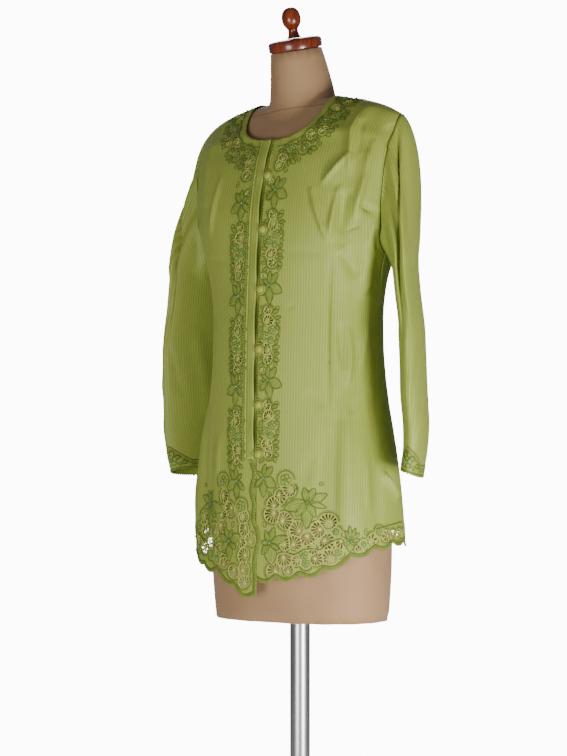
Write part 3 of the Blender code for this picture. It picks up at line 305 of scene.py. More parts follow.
# %% Body tables
CLOTH = 0.0006
SEAM_GAP = 0.0003
LAYER = 0.0023
SECTION_POWER = 2.25


def table_of(kind, *lines):
    """A table whose lines are read by name."""
    return tuple(kind(*line) for line in lines)


BodySection = namedtuple("BodySection", "height half_width front back")
BODY_SECTIONS = table_of(BodySection,
    (0.54, 0.18, 0.124, 0.122), (0.6, 0.179, 0.124, 0.121), (0.66, 0.178, 0.124, 0.12),
    (0.724, 0.1735, 0.124, 0.118), (0.803, 0.163, 0.123, 0.113), (0.881, 0.149, 0.122, 0.105),
    (0.975, 0.1414, 0.12, 0.097), (1.038, 0.143, 0.117, 0.099), (1.075, 0.15, 0.115, 0.102),
    (1.108, 0.162, 0.113, 0.105), (1.14, 0.174, 0.111, 0.108), (1.17, 0.182, 0.108, 0.111),
    (1.21, 0.187, 0.101, 0.112), (1.25, 0.1895, 0.091, 0.109), (1.285, 0.1905, 0.077, 0.105),
    (1.33, 0.191, 0.073, 0.103), (1.46, 0.191, 0.072, 0.102))
SIDE_SHIFTS = (
    (0.54, 0.05), (0.735, 0.048), (0.88, 0.043), (0.975, 0.034), (1.038, 0.018), (1.075, 0.005),
    (1.095, 0.0005), (1.108, 0.0), (1.13, 0.0), (1.46, 0.0))
ShoulderPoint = namedtuple("ShoulderPoint", "out height round_over")
SHOULDER = table_of(ShoulderPoint,
    (0.000, 1.36, 0.075), (0.071, 1.36, 0.072), (0.098, 1.353, 0.067), (0.13, 1.346, 0.062),
    (0.16, 1.335, 0.056), (0.187, 1.32, 0.05), (0.2, 1.312, 0.048))
SHOULDER_BACK = 0.008
SHOULDER_TIP = 0.187
CHEST_SLOPE = 0.20
SLOPE_EASE = 0.22
print("body sections:", len(BODY_SECTIONS))

# %% [markdown]
# ## Folds and creases
# Each fold is a soft ridge or trough along a line on the cloth. Those at the bust, the darts and
# the skirt shape the whole garment. The finer ones below them are pressed and pulled
# creases that only show close to, set one by one so that no two are alike.

# %% Fold tables
Fold = namedtuple("Fold", "side round_a height_a round_b height_b width depth")
FOLDS = table_of(Fold,
    (0, 0.108, 1.15, 0.11, 1.125, 0.05, 0.008), (0, 0.121, 1.1, 0.124, 0.855, 0.006, -0.0024),
    (1, 0.143, 1.35, 0.147, 1.253, 0.012, 0.0045), (1, 0.147, 1.253, 0.116, 1.21, 0.012, 0.0035),
    (1, 0.174, 1.262, 0.158, 1.16, 0.011, 0.0045), (1, 0.188, 1.3, 0.203, 1.262, 0.008, -0.004),
    (1, 0.165, 1.174, 0.19, 1.162, 0.008, -0.0035), (1, 0.132, 1.195, 0.14, 1.108, 0.012, -0.0055),
    (1, 0.14, 1.108, 0.168, 1.066, 0.012, -0.006), (1, 0.177, 1.11, 0.186, 1.03, 0.014, 0.0045),
    (1, 0.089, 1.2, 0.114, 1.14, 0.01, -0.0025), (1, 0.04, 1.104, 0.116, 1.102, 0.006, -0.0007),
    (1, 0.152, 0.904, 0.158, 0.853, 0.009, -0.003), (1, 0.143, 0.85, 0.146, 0.64, 0.015, 0.006),
    (1, 0.12, 0.84, 0.118, 0.65, 0.013, -0.004), (1, 0.172, 0.83, 0.17, 0.66, 0.012, 0.0035),
    (1, 0.203, 0.9, 0.206, 0.66, 0.016, -0.0055), (1, 0.218, 0.764, 0.262, 0.722, 0.009, 0.0035),
    (-1, 0.14, 1.3, 0.122, 1.185, 0.013, 0.004), (-1, 0.182, 1.255, 0.168, 1.16, 0.012, -0.004),
    (-1, 0.15, 1.2, 0.176, 1.07, 0.014, -0.005), (-1, 0.15, 0.88, 0.16, 0.65, 0.02, 0.0055),
    (-1, 0.2, 0.9, 0.208, 0.65, 0.018, -0.005), (-1, 0.105, 0.83, 0.112, 0.65, 0.016, -0.004),
    (2, 0.085, 1.08, 0.085, 0.85, 0.006, -0.0022), (2, -0.085, 1.08, -0.085, 0.85, 0.006, -0.0022),
    (2, 0.04, 0.93, -0.05, 0.925, 0.013, -0.0045), (2, -0.06, 0.975, 0.07, 0.965, 0.013, 0.004),
    (2, 0.135, 1.26, 0.105, 1.13, 0.014, -0.004), (2, -0.14, 1.25, -0.112, 1.12, 0.014, -0.0045),
    (2, 0.11, 0.86, 0.125, 0.64, 0.022, 0.006), (2, 0.03, 0.86, 0.02, 0.64, 0.022, -0.0055),
    (2, -0.07, 0.86, -0.08, 0.64, 0.022, 0.006), (2, -0.16, 0.85, -0.175, 0.64, 0.02, -0.005))
FINE_FOLDS = table_of(Fold,
    (1, 0.1212, 1.102, 0.124, 0.856, 0.0014, -0.0017), (-1, 0.1212, 1.102, 0.124, 0.856, 0.0014, -0.0017),
    (2, 0.085, 1.08, 0.085, 0.85, 0.0016, -0.0007), (2, -0.085, 1.08, -0.085, 0.85, 0.0016, -0.0007),
    (1, 0.086, 1.204, 0.118, 1.116, 0.0046, 0.0036), (1, 0.133, 1.206, 0.118, 1.116, 0.0048, 0.0038),
    (1, 0.16, 1.09, 0.134, 1.108, 0.005, 0.0012), (1, 0.143, 1.256, 0.104, 1.206, 0.0046, 0.003),
    (1, 0.172, 1.232, 0.155, 1.146, 0.0052, 0.0034), (1, 0.171, 0.968, 0.16, 0.876, 0.006, -0.0024),
    (1, 0.138, 0.996, 0.146, 0.922, 0.006, -0.0024), (1, 0.088, 0.89, 0.112, 0.862, 0.008, -0.0012),
    (1, 0.154, 0.99, 0.158, 0.9, 0.006, 0.0022), (1, 0.19, 1.000, 0.178, 0.93, 0.007, 0.002),
    (1, 0.206, 1.06, 0.182, 1.036, 0.006, -0.0016), (1, 0.052, 1.018, 0.068, 1.022, 0.004, -0.0004),
    (1, 0.144, 1.2, 0.137, 1.126, 0.0085, -0.0034), (1, 0.176, 1.278, 0.17, 1.222, 0.0055, 0.0022),
    (1, 0.134, 1.326, 0.147, 1.214, 0.0046, 0.0034), (1, 0.147, 1.31, 0.157, 1.252, 0.006, -0.0028),
    (1, 0.163, 1.176, 0.183, 1.162, 0.003, -0.0018), (1, 0.146, 1.134, 0.168, 1.144, 0.003, -0.0012),
    (1, 0.189, 1.158, 0.178, 1.118, 0.0045, 0.0022), (1, 0.187, 1.185, 0.174, 1.08, 0.015, 0.0028),
    (1, 0.152, 1.18, 0.156, 1.1, 0.012, -0.0016), (1, 0.192, 1.14, 0.199, 1.108, 0.006, -0.0024),
    (1, 0.216, 0.768, 0.262, 0.724, 0.0045, 0.0026), (1, 0.226, 0.772, 0.264, 0.738, 0.005, -0.0018),
    (1, 0.134, 0.895, 0.1355, 0.64, 0.007, -0.002), (1, 0.153, 0.88, 0.156, 0.65, 0.009, 0.0022),
    (1, 0.096, 0.8, 0.09, 0.745, 0.008, -0.0014), (1, 0.186, 0.8, 0.19, 0.7, 0.007, 0.002),
    (-1, 0.09, 1.24, 0.108, 1.135, 0.006, 0.002), (-1, 0.06, 1.096, 0.112, 1.102, 0.006, -0.0006),
    (-1, 0.15, 0.985, 0.141, 0.9, 0.006, -0.0016), (-1, 0.176, 0.83, 0.172, 0.69, 0.008, 0.0022),
    (-1, 0.13, 0.85, 0.126, 0.68, 0.009, -0.002), (-1, 0.078, 0.83, 0.084, 0.74, 0.008, 0.0014),
    (2, 0.015, 1.2, -0.01, 1.02, 0.01, -0.0015), (2, 0.06, 1.000, 0.12, 0.985, 0.007, 0.0018),
    (2, -0.13, 0.95, -0.065, 0.9, 0.008, -0.002), (2, 0.15, 0.905, 0.095, 0.93, 0.007, -0.002),
    (2, 0.165, 0.83, 0.172, 0.68, 0.01, -0.0022), (2, -0.02, 0.83, -0.028, 0.69, 0.011, 0.0022),
    (2, -0.118, 0.84, -0.126, 0.69, 0.01, -0.002), (2, 0.07, 0.83, 0.074, 0.7, 0.01, -0.0018))
FINE_STRENGTH = 1.9
FINE_TAPER = 2.4
FINE_LEAST = 0.05
print("folds:", len(FOLDS), "and", len(FINE_FOLDS), "fine")

# %% [markdown]
# ## From flat cloth to space
# The quarter sections are measured along their length once, so that a distance round the body can
# be looked up. The folds then lift the cloth along its normal, and anything laid on the
# cloth is moved a little further out along the same normal.

# %% Cloth function
TABLE_LOW = 0.54
TABLE_HIGH = 1.46
TABLE_ROWS = 369
TABLE_STEPS = 129
NUDGE = 0.002
QUARTER_POINTS = 400


def stacked(*coordinates):
    """Places from their coordinates, any of which may be one number for them all."""
    return np.stack(np.broadcast_arrays(*coordinates), axis=-1)


def smooth_columns(rows, where):
    """Read a table at the given places, with a smooth curve through its rows."""
    table = np.array(rows, dtype=float)
    key = table[:, 0]
    values = table[:, 1:]
    slopes = np.gradient(values, key, axis=0)
    where = np.clip(np.atleast_1d(np.asarray(where, dtype=float)), key[0], key[-1])
    row = np.clip(np.searchsorted(key, where) - 1, 0, len(key) - 2)
    span = (key[row + 1] - key[row])[:, None]
    t = (where - key[row])[:, None] / span
    start = (1 + 2 * t) * (1 - t) ** 2 * values[row] + t * (1 - t) ** 2 * span * slopes[row]
    end = t * t * (3 - 2 * t) * values[row + 1] + t * t * (t - 1) * span * slopes[row + 1]
    return start + end


def quarter_curves(depth_column):
    """Sections from the middle to the side seam, evenly spaced along their length."""
    heights = np.linspace(TABLE_LOW, TABLE_HIGH, TABLE_ROWS)
    sizes = smooth_columns(BODY_SECTIONS, heights)
    shifts = smooth_columns(SIDE_SHIFTS, heights)
    angle = np.linspace(0, math.pi / 2, QUARTER_POINTS)
    out_unit = np.sin(angle) ** (2 / SECTION_POWER)
    deep_unit = np.cos(angle) ** (2 / SECTION_POWER)
    out = sizes[:, :1] * np.concatenate([out_unit, out_unit[-2::-1]])
    deep = np.concatenate([sizes[:, depth_column:depth_column + 1] * deep_unit,
                           -sizes[:, 3 - depth_column:4 - depth_column] * deep_unit[-2::-1]], axis=1)
    steps = np.hypot(np.diff(out, axis=1), np.diff(deep, axis=1))
    travelled = np.concatenate([np.zeros((TABLE_ROWS, 1)), np.cumsum(steps, axis=1)], axis=1)
    girth = travelled[:, QUARTER_POINTS - 1] + shifts[:, 0] * (1 if depth_column == 1 else -1)
    even = [np.linspace(0, length, TABLE_STEPS) for length in girth]
    out_table = np.array([np.interp(e, t, o) for e, t, o in zip(even, travelled, out)])
    deep_table = np.array([np.interp(e, t, d) for e, t, d in zip(even, travelled, deep)])
    return heights, girth, out_table, deep_table


FRONT = quarter_curves(1)
BACK = quarter_curves(2)


def curves_of(side):
    return BACK if side == 2 else FRONT


def travelled_along(points):
    """Distance along a line to each of its points."""
    return np.concatenate(([0], np.cumsum(np.linalg.norm(np.diff(points, axis=0), axis=1))))


def points_at(even, travelled, points):
    return stacked(np.interp(even, travelled, points[:, 0]), np.interp(even, travelled, points[:, 1]))


def along_fold(run, rise, from_a, above_a):
    """Part of the way along a fold, the distance across it and the distance past its ends."""
    length = math.hypot(run, rise)
    part = (from_a * run + above_a * rise) / length ** 2
    across = (from_a * rise - above_a * run) / length
    return part, across, np.maximum(np.abs(part - 0.5) - 0.5, 0) * length


def girth_at(curves, height):
    """Distance round from the middle to the side seam."""
    return np.interp(height, curves[0], curves[1])


def read_quarter(curves, distance, height):
    """Distance out and depth of points on the quarter sections."""
    row = (np.clip(height, TABLE_LOW, TABLE_HIGH) - TABLE_LOW) / (TABLE_HIGH - TABLE_LOW) * (TABLE_ROWS - 1)
    step = np.clip(distance / girth_at(curves, height), 0, 1) * (TABLE_STEPS - 1)
    low_row = np.clip(row.astype(int), 0, TABLE_ROWS - 2)
    low_step = np.clip(step.astype(int), 0, TABLE_STEPS - 2)
    r = row - low_row
    s = step - low_step

    def read(table):
        low = table[low_row, low_step] * (1 - s) + table[low_row, low_step + 1] * s
        high = table[low_row + 1, low_step] * (1 - s) + table[low_row + 1, low_step + 1] * s
        return low * (1 - r) + high * r

    return read(curves[2]), read(curves[3])


def read_row(curves, height):
    """One whole quarter section."""
    return read_quarter(curves, np.linspace(0, girth_at(curves, height), TABLE_STEPS),
                        np.full(TABLE_STEPS, height))


def shoulder_at(curves, out):
    """Shoulder height, the rise of the round-over, and its length on the cloth."""
    columns = smooth_columns(SHOULDER, out)
    quarter_out, quarter_deep = read_row(curves, SHOULDER[0].height - SHOULDER[0].round_over)
    behind = SHOULDER_BACK if curves is FRONT else -SHOULDER_BACK
    depth = np.interp(out, quarter_out, quarter_deep) + behind
    rise = columns[:, 1]
    return columns[:, 0], rise, math.pi / 2 * np.sqrt((rise * rise + depth * depth) / 2)


BROAD_FADE = 0.55


def lift_of(folds, side, distance, height, taper=4, least=0.15):
    """How far the folds raise the cloth, fading towards both ends of each."""
    lift = np.zeros_like(distance)
    for fold in folds:
        if fold.side != side and not (fold.side == 0 and side != 2):
            continue
        run = fold.round_b - fold.round_a
        rise = fold.height_b - fold.height_a
        part, across, beyond = along_fold(run, rise, distance - fold.round_a, height - fold.height_a)
        fade = np.clip(1 - (np.abs(part - 0.5) * 2) ** taper, least, 1)
        if fold.width > math.hypot(run, rise):
            fade = BROAD_FADE
        lift += fold.depth * fade * np.exp(-(across ** 2 + (beyond * 0.7) ** 2) / fold.width ** 2)
    return lift


def bare_points(side, distance, height):
    """The cloth without folds."""
    curves = curves_of(side)
    out, deep = read_quarter(curves, np.abs(distance), height)
    top, rise, length = shoulder_at(curves, out)
    start = top - rise
    angle = np.clip((height - start) / length, 0, 1) * math.pi / 2
    low = height <= start
    z = np.where(low, height, start + rise * np.sin(angle))
    facing = 1 if side == 2 else -1
    slope = 0.0 if side == 2 else CHEST_SLOPE
    eased = np.sin(2 * angle) * (1 - np.exp(-(angle / SLOPE_EASE) ** 2))
    left = np.cos(angle) * (1 - slope * eased)
    y = np.where(low, facing * deep, SHOULDER_BACK + (facing * deep - SHOULDER_BACK) * left)
    hand = np.sign(distance) * (side if side != 2 else 1)
    return stacked(hand * out, y, z)


def unit(vectors):
    return vectors / np.linalg.norm(vectors, axis=1)[:, None]


BUTTON_HEIGHTS = (1.227, 1.142, 1.049, 0.956, 0.870, 0.794)
NECK_STOP = 1.300
TOP_GAP = 0.4
DIP_PLACE = -0.0008
DIP_WIDTH = 0.0030
DIP_DEPTH = 0.0060


def gaping(heights):
    """How far the opening gapes at each height: nothing at a button, most between two."""
    stops = np.array(sorted(BUTTON_HEIGHTS) + [NECK_STOP])
    between = np.clip(np.searchsorted(stops, heights), 1, len(stops) - 1)
    part = np.clip((heights - stops[between - 1]) / (stops[between] - stops[between - 1]), 0, 1)
    return np.sin(math.pi * part) ** 2 * np.where(between == len(stops) - 1, TOP_GAP, 1.0)


class Ground:
    """A stretch of cloth to work on: flat places are (distance round, height up), in metres."""

    def __init__(self, side, mirror=1, gapes=True):
        self.side = side
        self.mirror = mirror
        self.gapes = gapes

    def facing(self):
        return 1 if self.side == 1 else -1

    def folded(self, distance, high):
        base = bare_points(self.side, distance, high)
        across = (bare_points(self.side, distance + NUDGE, high)
                  - bare_points(self.side, distance - NUDGE, high))
        up = bare_points(self.side, distance, high + NUDGE) - bare_points(self.side, distance, high - NUDGE)
        place = np.abs(distance) if self.side != 2 else distance
        lift = lift_of(FOLDS, self.side, place, high) + FINE_STRENGTH * lift_of(
            FINE_FOLDS, self.side, place, high, FINE_TAPER, FINE_LEAST)
        if self.side == -1:
            part = np.clip((0.065 - distance) / 0.045, 0, 1)
            lift = lift + LAYER * part * part * (3 - 2 * part)
        if self.side == 1 and self.gapes:
            lift = lift - DIP_DEPTH * np.exp(-((distance - DIP_PLACE) / DIP_WIDTH) ** 2) * gaping(high)
        return base + unit(np.cross(across, up)) * self.facing() * lift[:, None]

    def frame(self, flat):
        """Points on the middle of the cloth, and its outward normals."""
        distance = np.asarray(flat, dtype=float)[:, 0]
        high = np.asarray(flat, dtype=float)[:, 1]
        across = self.folded(distance + NUDGE, high) - self.folded(distance - NUDGE, high)
        up = self.folded(distance, high + NUDGE) - self.folded(distance, high - NUDGE)
        return self.folded(distance, high), unit(np.cross(across, up)) * self.facing()


left_ground = Ground(1)
right_ground = Ground(-1)
back_ground = Ground(2)
print("bust round the cloth:", round(2 * float(girth_at(FRONT, 1.125) + girth_at(BACK, 1.125)), 3), "m")

# %% [markdown]
# ## Cutting the panels
# A pattern cutter draws each panel flat. The neckline and the armhole are curves fixed in
# space, so they are read back on to the flat cloth and spread evenly along their length. The hem is a
# row of scallops, and a table sets how low it hangs at each place round the body.

# %% Pattern outlines
NECK_HALF_WIDTH = 0.073
NECK_DROP_FRONT = 0.074
NECK_DROP_BACK = 0.020
NECK_POWER = 2.7
ARMHOLE = (
    (1.108, 0.162), (1.1125, 0.1632), (1.124, 0.166), (1.145, 0.1712), (1.172, 0.1748), (1.205, 0.178),
    (1.242, 0.1808), (1.282, 0.185), (1.32, 0.187))
HEM_LEFT = (
    (-0.02, 0.603), (0.04, 0.606), (0.085, 0.612), (0.124, 0.622), (0.158, 0.639), (0.205, 0.653),
    (0.26, 0.661))
HEM_RIGHT = (
    (-0.01, 0.576), (0.02, 0.581), (0.045, 0.594), (0.07, 0.609), (0.124, 0.622), (0.158, 0.639),
    (0.205, 0.653), (0.26, 0.661))
HEM_BACK = 0.658
SCALLOP_WIDTH = 0.040
SCALLOP_DEPTH = 0.008
RIGHT_EDGE = (
    (0.576, 0.004), (0.6, 0.005), (0.635, 0.005), (0.651, 0.009), (0.673, 0.0105), (0.691, 0.002),
    (0.716, 0.0035), (0.738, -0.002), (0.763, 0.004), (0.784, -0.0035))
LEFT_EDGE = -0.0158
STRIP_LEFT = -0.0145
STRIP_RIGHT = 0.0005
STRIP_BOTTOM = 0.786
VENT_TOP = 0.735
VENT_SPREAD = 0.004
FINE_STEPS = 240
NECK_STEPS = 40
ARMHOLE_STEPS = 52
SHOULDER_STEPS = 30
SIDE_STEPS = 110


def distance_of(side, out, height):
    quarter_out, _ = read_row(curves_of(side), height)
    girths = np.linspace(0, girth_at(curves_of(side), height), TABLE_STEPS)
    return float(np.interp(abs(out), quarter_out, girths))


def height_of(side, out, z):
    top, rise, length = shoulder_at(curves_of(side), np.array([out]))
    start = top[0] - rise[0]
    return z if z <= start else start + math.asin(min((z - start) / rise[0], 1.0)) / (math.pi / 2) * length[0]


def seam_top(side, out):
    top, rise, length = shoulder_at(curves_of(side), np.array([out]))
    return float(top[0] - rise[0] + length[0]) - SEAM_GAP / 2


def spread_evenly(side, fine, count):
    fine = np.array(fine)
    placed = bare_points(side, fine[:, 0], fine[:, 1])
    travelled = travelled_along(placed)
    return points_at(np.linspace(0, travelled[-1], count + 1), travelled, fine)


def neck_outline(side):
    """From the middle up to the shoulder."""
    drop = NECK_DROP_BACK if side == 2 else NECK_DROP_FRONT
    fine = []
    for angle in np.linspace(0, math.pi / 2, FINE_STEPS):
        out = NECK_HALF_WIDTH * math.sin(angle) ** (2 / NECK_POWER)
        z = SHOULDER[1].height - drop * max(math.cos(angle), 0) ** (2 / NECK_POWER)
        high = min(height_of(side, out, z), seam_top(side, out))
        fine.append((distance_of(side, out, high), high))
    return spread_evenly(side, fine, NECK_STEPS)


def armhole_outline(side, count=ARMHOLE_STEPS):
    """From the shoulder's tip down to the underarm."""
    fine = []
    levels = np.linspace(ARMHOLE[-1][0], ARMHOLE[0][0], FINE_STEPS)
    for z, out in zip(levels, smooth_columns(ARMHOLE, levels)[:, 0]):
        high = min(height_of(side, out, z), seam_top(side, out))
        limit = float(girth_at(curves_of(side), high)) - SEAM_GAP / 2
        fine.append((min(distance_of(side, out, high), limit), high))
    return spread_evenly(side, fine, count)


def shoulder_outline(side):
    outs = np.linspace(NECK_HALF_WIDTH, SHOULDER_TIP, SHOULDER_STEPS)[1:-1]
    return np.array([(distance_of(side, out, seam_top(side, out)), seam_top(side, out)) for out in outs])


def side_edge(curves, height):
    spread = VENT_SPREAD * np.maximum(0.0, (VENT_TOP - height) / (VENT_TOP - HEM_BACK))
    return girth_at(curves, height) - SEAM_GAP / 2 - spread


def side_outline(curves, hem):
    levels = np.linspace(ARMHOLE[0][0], hem, SIDE_STEPS)[1:-1]
    return stacked(side_edge(curves, levels), levels)


def hem_height(table, distance):
    return HEM_BACK if table is None else smooth_columns(table, distance)[:, 0]


def hem_line(table, distance):
    """Height of the hem's scalloped edge."""
    return hem_height(table, distance) - SCALLOP_DEPTH * np.abs(np.sin(math.pi * distance / SCALLOP_WIDTH))


def hem_outline(table, start, end):
    distance = np.linspace(start, end, int(abs(end - start) / 0.0025) + 1)
    return stacked(distance, hem_line(table, distance))


def upright(place, low, high, step=0.004):
    levels = np.linspace(low, high, max(int((high - low) / step), 2))
    return stacked(place, levels)


def front_outline(side):
    """A front, anticlockwise on its own flat map."""
    left = side == 1
    table = HEM_LEFT if left else HEM_RIGHT
    hem_side = table[-1][1]
    neck = neck_outline(side)
    if left:
        edge = upright(LEFT_EDGE, float(smooth_columns(table, -LEFT_EDGE)[0, 0]), neck[0, 1])
        hem_end = LEFT_EDGE
    else:
        free = np.linspace(RIGHT_EDGE[0][0] + SEAM_GAP, RIGHT_EDGE[-1][0], 60)
        edge = stacked(-smooth_columns(RIGHT_EDGE, free)[:, 0], free)
        inner = -STRIP_LEFT + SEAM_GAP
        edge = np.concatenate([edge, upright(inner, STRIP_BOTTOM - SEAM_GAP, neck[0, 1] + SEAM_GAP)])
        hem_end = -RIGHT_EDGE[0][1]
    neck = neck[neck[:, 0] > edge[-1, 0] + 0.002]
    hem = hem_outline(table, float(side_edge(FRONT, hem_side)), hem_end)[:-1]
    return np.concatenate([edge, neck, shoulder_outline(side), armhole_outline(side),
                           side_outline(FRONT, hem_side), hem])


def back_outline():
    half = np.concatenate([neck_outline(2)[1:], shoulder_outline(2), armhole_outline(2),
                           side_outline(BACK, HEM_BACK)])
    other = half[::-1] * (-1, 1)
    edge = float(side_edge(BACK, HEM_BACK))
    return np.concatenate([other, neck_outline(2)[:1], half, hem_outline(None, edge, -edge)])


OUTLINES = {"left": front_outline(1), "right": front_outline(-1), "back": back_outline()}
for panel, outline in OUTLINES.items():
    print(panel, "outline has", len(outline), "points")

# %% [markdown]
# ## Small geometry helpers
# These answer two questions about flat outlines: what lies inside one, and how far a point is from
# its edge. The cutwork is laid out with them, so that no slot runs into a petal or the hem. The
# last two give points round a centre.

# %% Flat geometry
def inside(points, outline):
    x = points[:, :1]
    y = points[:, 1:]
    a = outline
    b = np.roll(outline, -1, axis=0)
    rise = np.where(b[:, 1] == a[:, 1], 1e-12, b[:, 1] - a[:, 1])
    crosses = ((a[:, 1] > y) != (b[:, 1] > y)) & (x < (b[:, 0] - a[:, 0]) * (y - a[:, 1]) / rise + a[:, 0])
    return crosses.sum(axis=1) % 2 == 1


def to_edge(points, outline):
    """Distance from each point to an outline."""
    a = outline
    run = np.roll(outline, -1, axis=0) - a
    size = np.maximum((run ** 2).sum(axis=1), 1e-18)
    best = np.full(len(points), 1e9)
    for start in range(0, len(points), 2000):
        block = points[start:start + 2000]
        part = np.clip(((block[:, None] - a) * run).sum(axis=2) / size, 0, 1)
        near = a + part[:, :, None] * run
        best[start:start + 2000] = np.linalg.norm(block[:, None] - near, axis=2).min(axis=1)
    return best


def polar(centre, radius, angle):
    return np.asarray(centre) + stacked(radius * np.cos(angle), radius * np.sin(angle))


def circle(centre, radius, count):
    return polar(centre, radius, np.linspace(0, 2 * math.pi, count, endpoint=False))


print("middle of the left front is inside:", inside(np.array([[0.1, 0.9]]), OUTLINES["left"])[0])

# %% [markdown]
# ## A pattern of embroidery
# Each panel gets one work sheet. Motifs add their cords, fillings, beads and cut slots to it, in
# flat places, and the sheet remembers which shapes are solid, so that the cutwork keeps off
# them. Nothing is drawn point by point: every motif is worked out from a few sizes.

# %% The work sheet and its motifs
OUTLINE_WIDTH = 0.0021
VEIN_WIDTH = 0.0012
CREAM_WIDTH = 0.0010
RISE = 0.0006


class WorkSheet:
    def __init__(self, outline):
        self.outline = outline
        self.cords = {"leaf": [], "band": [], "light": [], "cream": []}
        self.petals = []
        self.beads = []
        self.solid = []
        self.wheels = []
        self.slots = []
        self.hubs = []
        self.rounds = []

    def cord(self, shade, points, width=OUTLINE_WIDTH, rise=RISE, closed=False):
        points = np.array(points, dtype=float)
        if closed:
            points = np.concatenate([points, points[:1]])
        keep = inside(points, self.outline)
        for piece in np.split(points, np.flatnonzero(np.diff(keep.astype(int))) + 1):
            if len(piece) > 2 and inside(piece[1:2], self.outline)[0]:
                self.cords[shade].append((piece, width, rise))


PETAL_STEPS = 14
PETAL_FULLNESS = 0.85
PETAL_HEART = 0.06


def petal_sizes(length, width, t):
    """Distance along a petal and half its width there, from its heart at t = 0 to its tip at 1."""
    return (length * (PETAL_HEART + (1 - PETAL_HEART) * t),
            width / 2 * np.sin(math.pi * t ** PETAL_FULLNESS) ** 0.8)


def petal_shape(centre, angle, length, width):
    """Outline of a pointed petal that starts at the flower's heart."""
    along, half = petal_sizes(length, width, np.linspace(0, 1, PETAL_STEPS))
    x = np.concatenate([along, along[::-1][1:-1]])
    y = np.concatenate([half, -half[::-1][1:-1]])
    turn = math.radians(angle)
    return np.asarray(centre) + stacked(x * math.cos(turn) - y * math.sin(turn),
                                          x * math.sin(turn) + y * math.cos(turn))


def petal(sheet, centre, angle, length, width, veins=3):
    """A padded petal with an outline and veins that follow its sides."""
    shape = petal_shape(centre, angle, length, width)
    sheet.solid.append(shape)
    sheet.petals.append(shape)
    sheet.cord("leaf", shape, closed=True)
    turn = math.radians(angle)
    ahead = np.array([math.cos(turn), math.sin(turn)])
    aside = np.array([-math.sin(turn), math.cos(turn)])
    for place in np.linspace(-0.68, 0.68, veins):
        along, half = petal_sizes(length, width, np.linspace(0.16, 0.90 - 0.22 * abs(place), 9))
        line = np.asarray(centre) + ahead * along[:, None] + aside * (half * place)[:, None]
        sheet.cord("leaf", line, VEIN_WIDTH * 0.75, RISE * 1.5)


def flower(sheet, centre, petals):
    for angle, length, width in petals:
        petal(sheet, centre, angle, length, width, 4 if width > 0.009 else 3)
    sheet.beads.append(centre)


def blossom(sheet, centre, size, turn):
    """A small round flower: five looped petals and a bead."""
    for index in range(5):
        angle = math.radians(turn + 72 * index)
        middle = np.asarray(centre) + size * 0.58 * np.array([math.cos(angle), math.sin(angle)])
        ring = circle(middle, size * 0.42, 12)
        sheet.cord("leaf", ring, 0.0017, closed=True)
        sheet.petals.append(ring)
        stalk = np.linspace(0.25, 0.75, 4)[:, None] * (middle - centre) + centre
        sheet.cord("leaf", stalk, VEIN_WIDTH * 0.8, RISE * 1.5)
    sheet.solid.append(circle(centre, size * 1.02, 14))
    sheet.rounds.append((np.asarray(centre), size + 0.0022))
    sheet.beads.append(centre)


def curl(sheet, centre, size, turn, hand, shade="leaf", rounds=1.35):
    """A tendril that rolls up on itself."""
    t = np.linspace(0, 1, 26)
    angle = math.radians(turn) + hand * 2 * math.pi * rounds * (1 - t)
    radius = size * (1 - 0.86 * t)
    sheet.cord(shade, polar(centre, radius, angle), 0.0016 if shade == "leaf" else 0.0011)


Wheel = namedtuple("Wheel", "round height radius slots kind")


SLOT_CLEAR = 0.0010
EDGE_BAND = 0.0062
INNER_PART = {"hub": 0.24, "curl": 0.44, "fan": 0.40}
CELL_WAVE = 0.09
HEART_TURN = math.radians(137)
HEART_ASIDE = {"hub": 0.32, "curl": 0.24, "fan": 0.20}


def cell_radius(size, number, angle):
    """How far a worked cell reaches: each is a little longer one way than the other."""
    return size * (1 - CELL_WAVE * (1 + np.sin(2 * angle + 1.7 * number)))


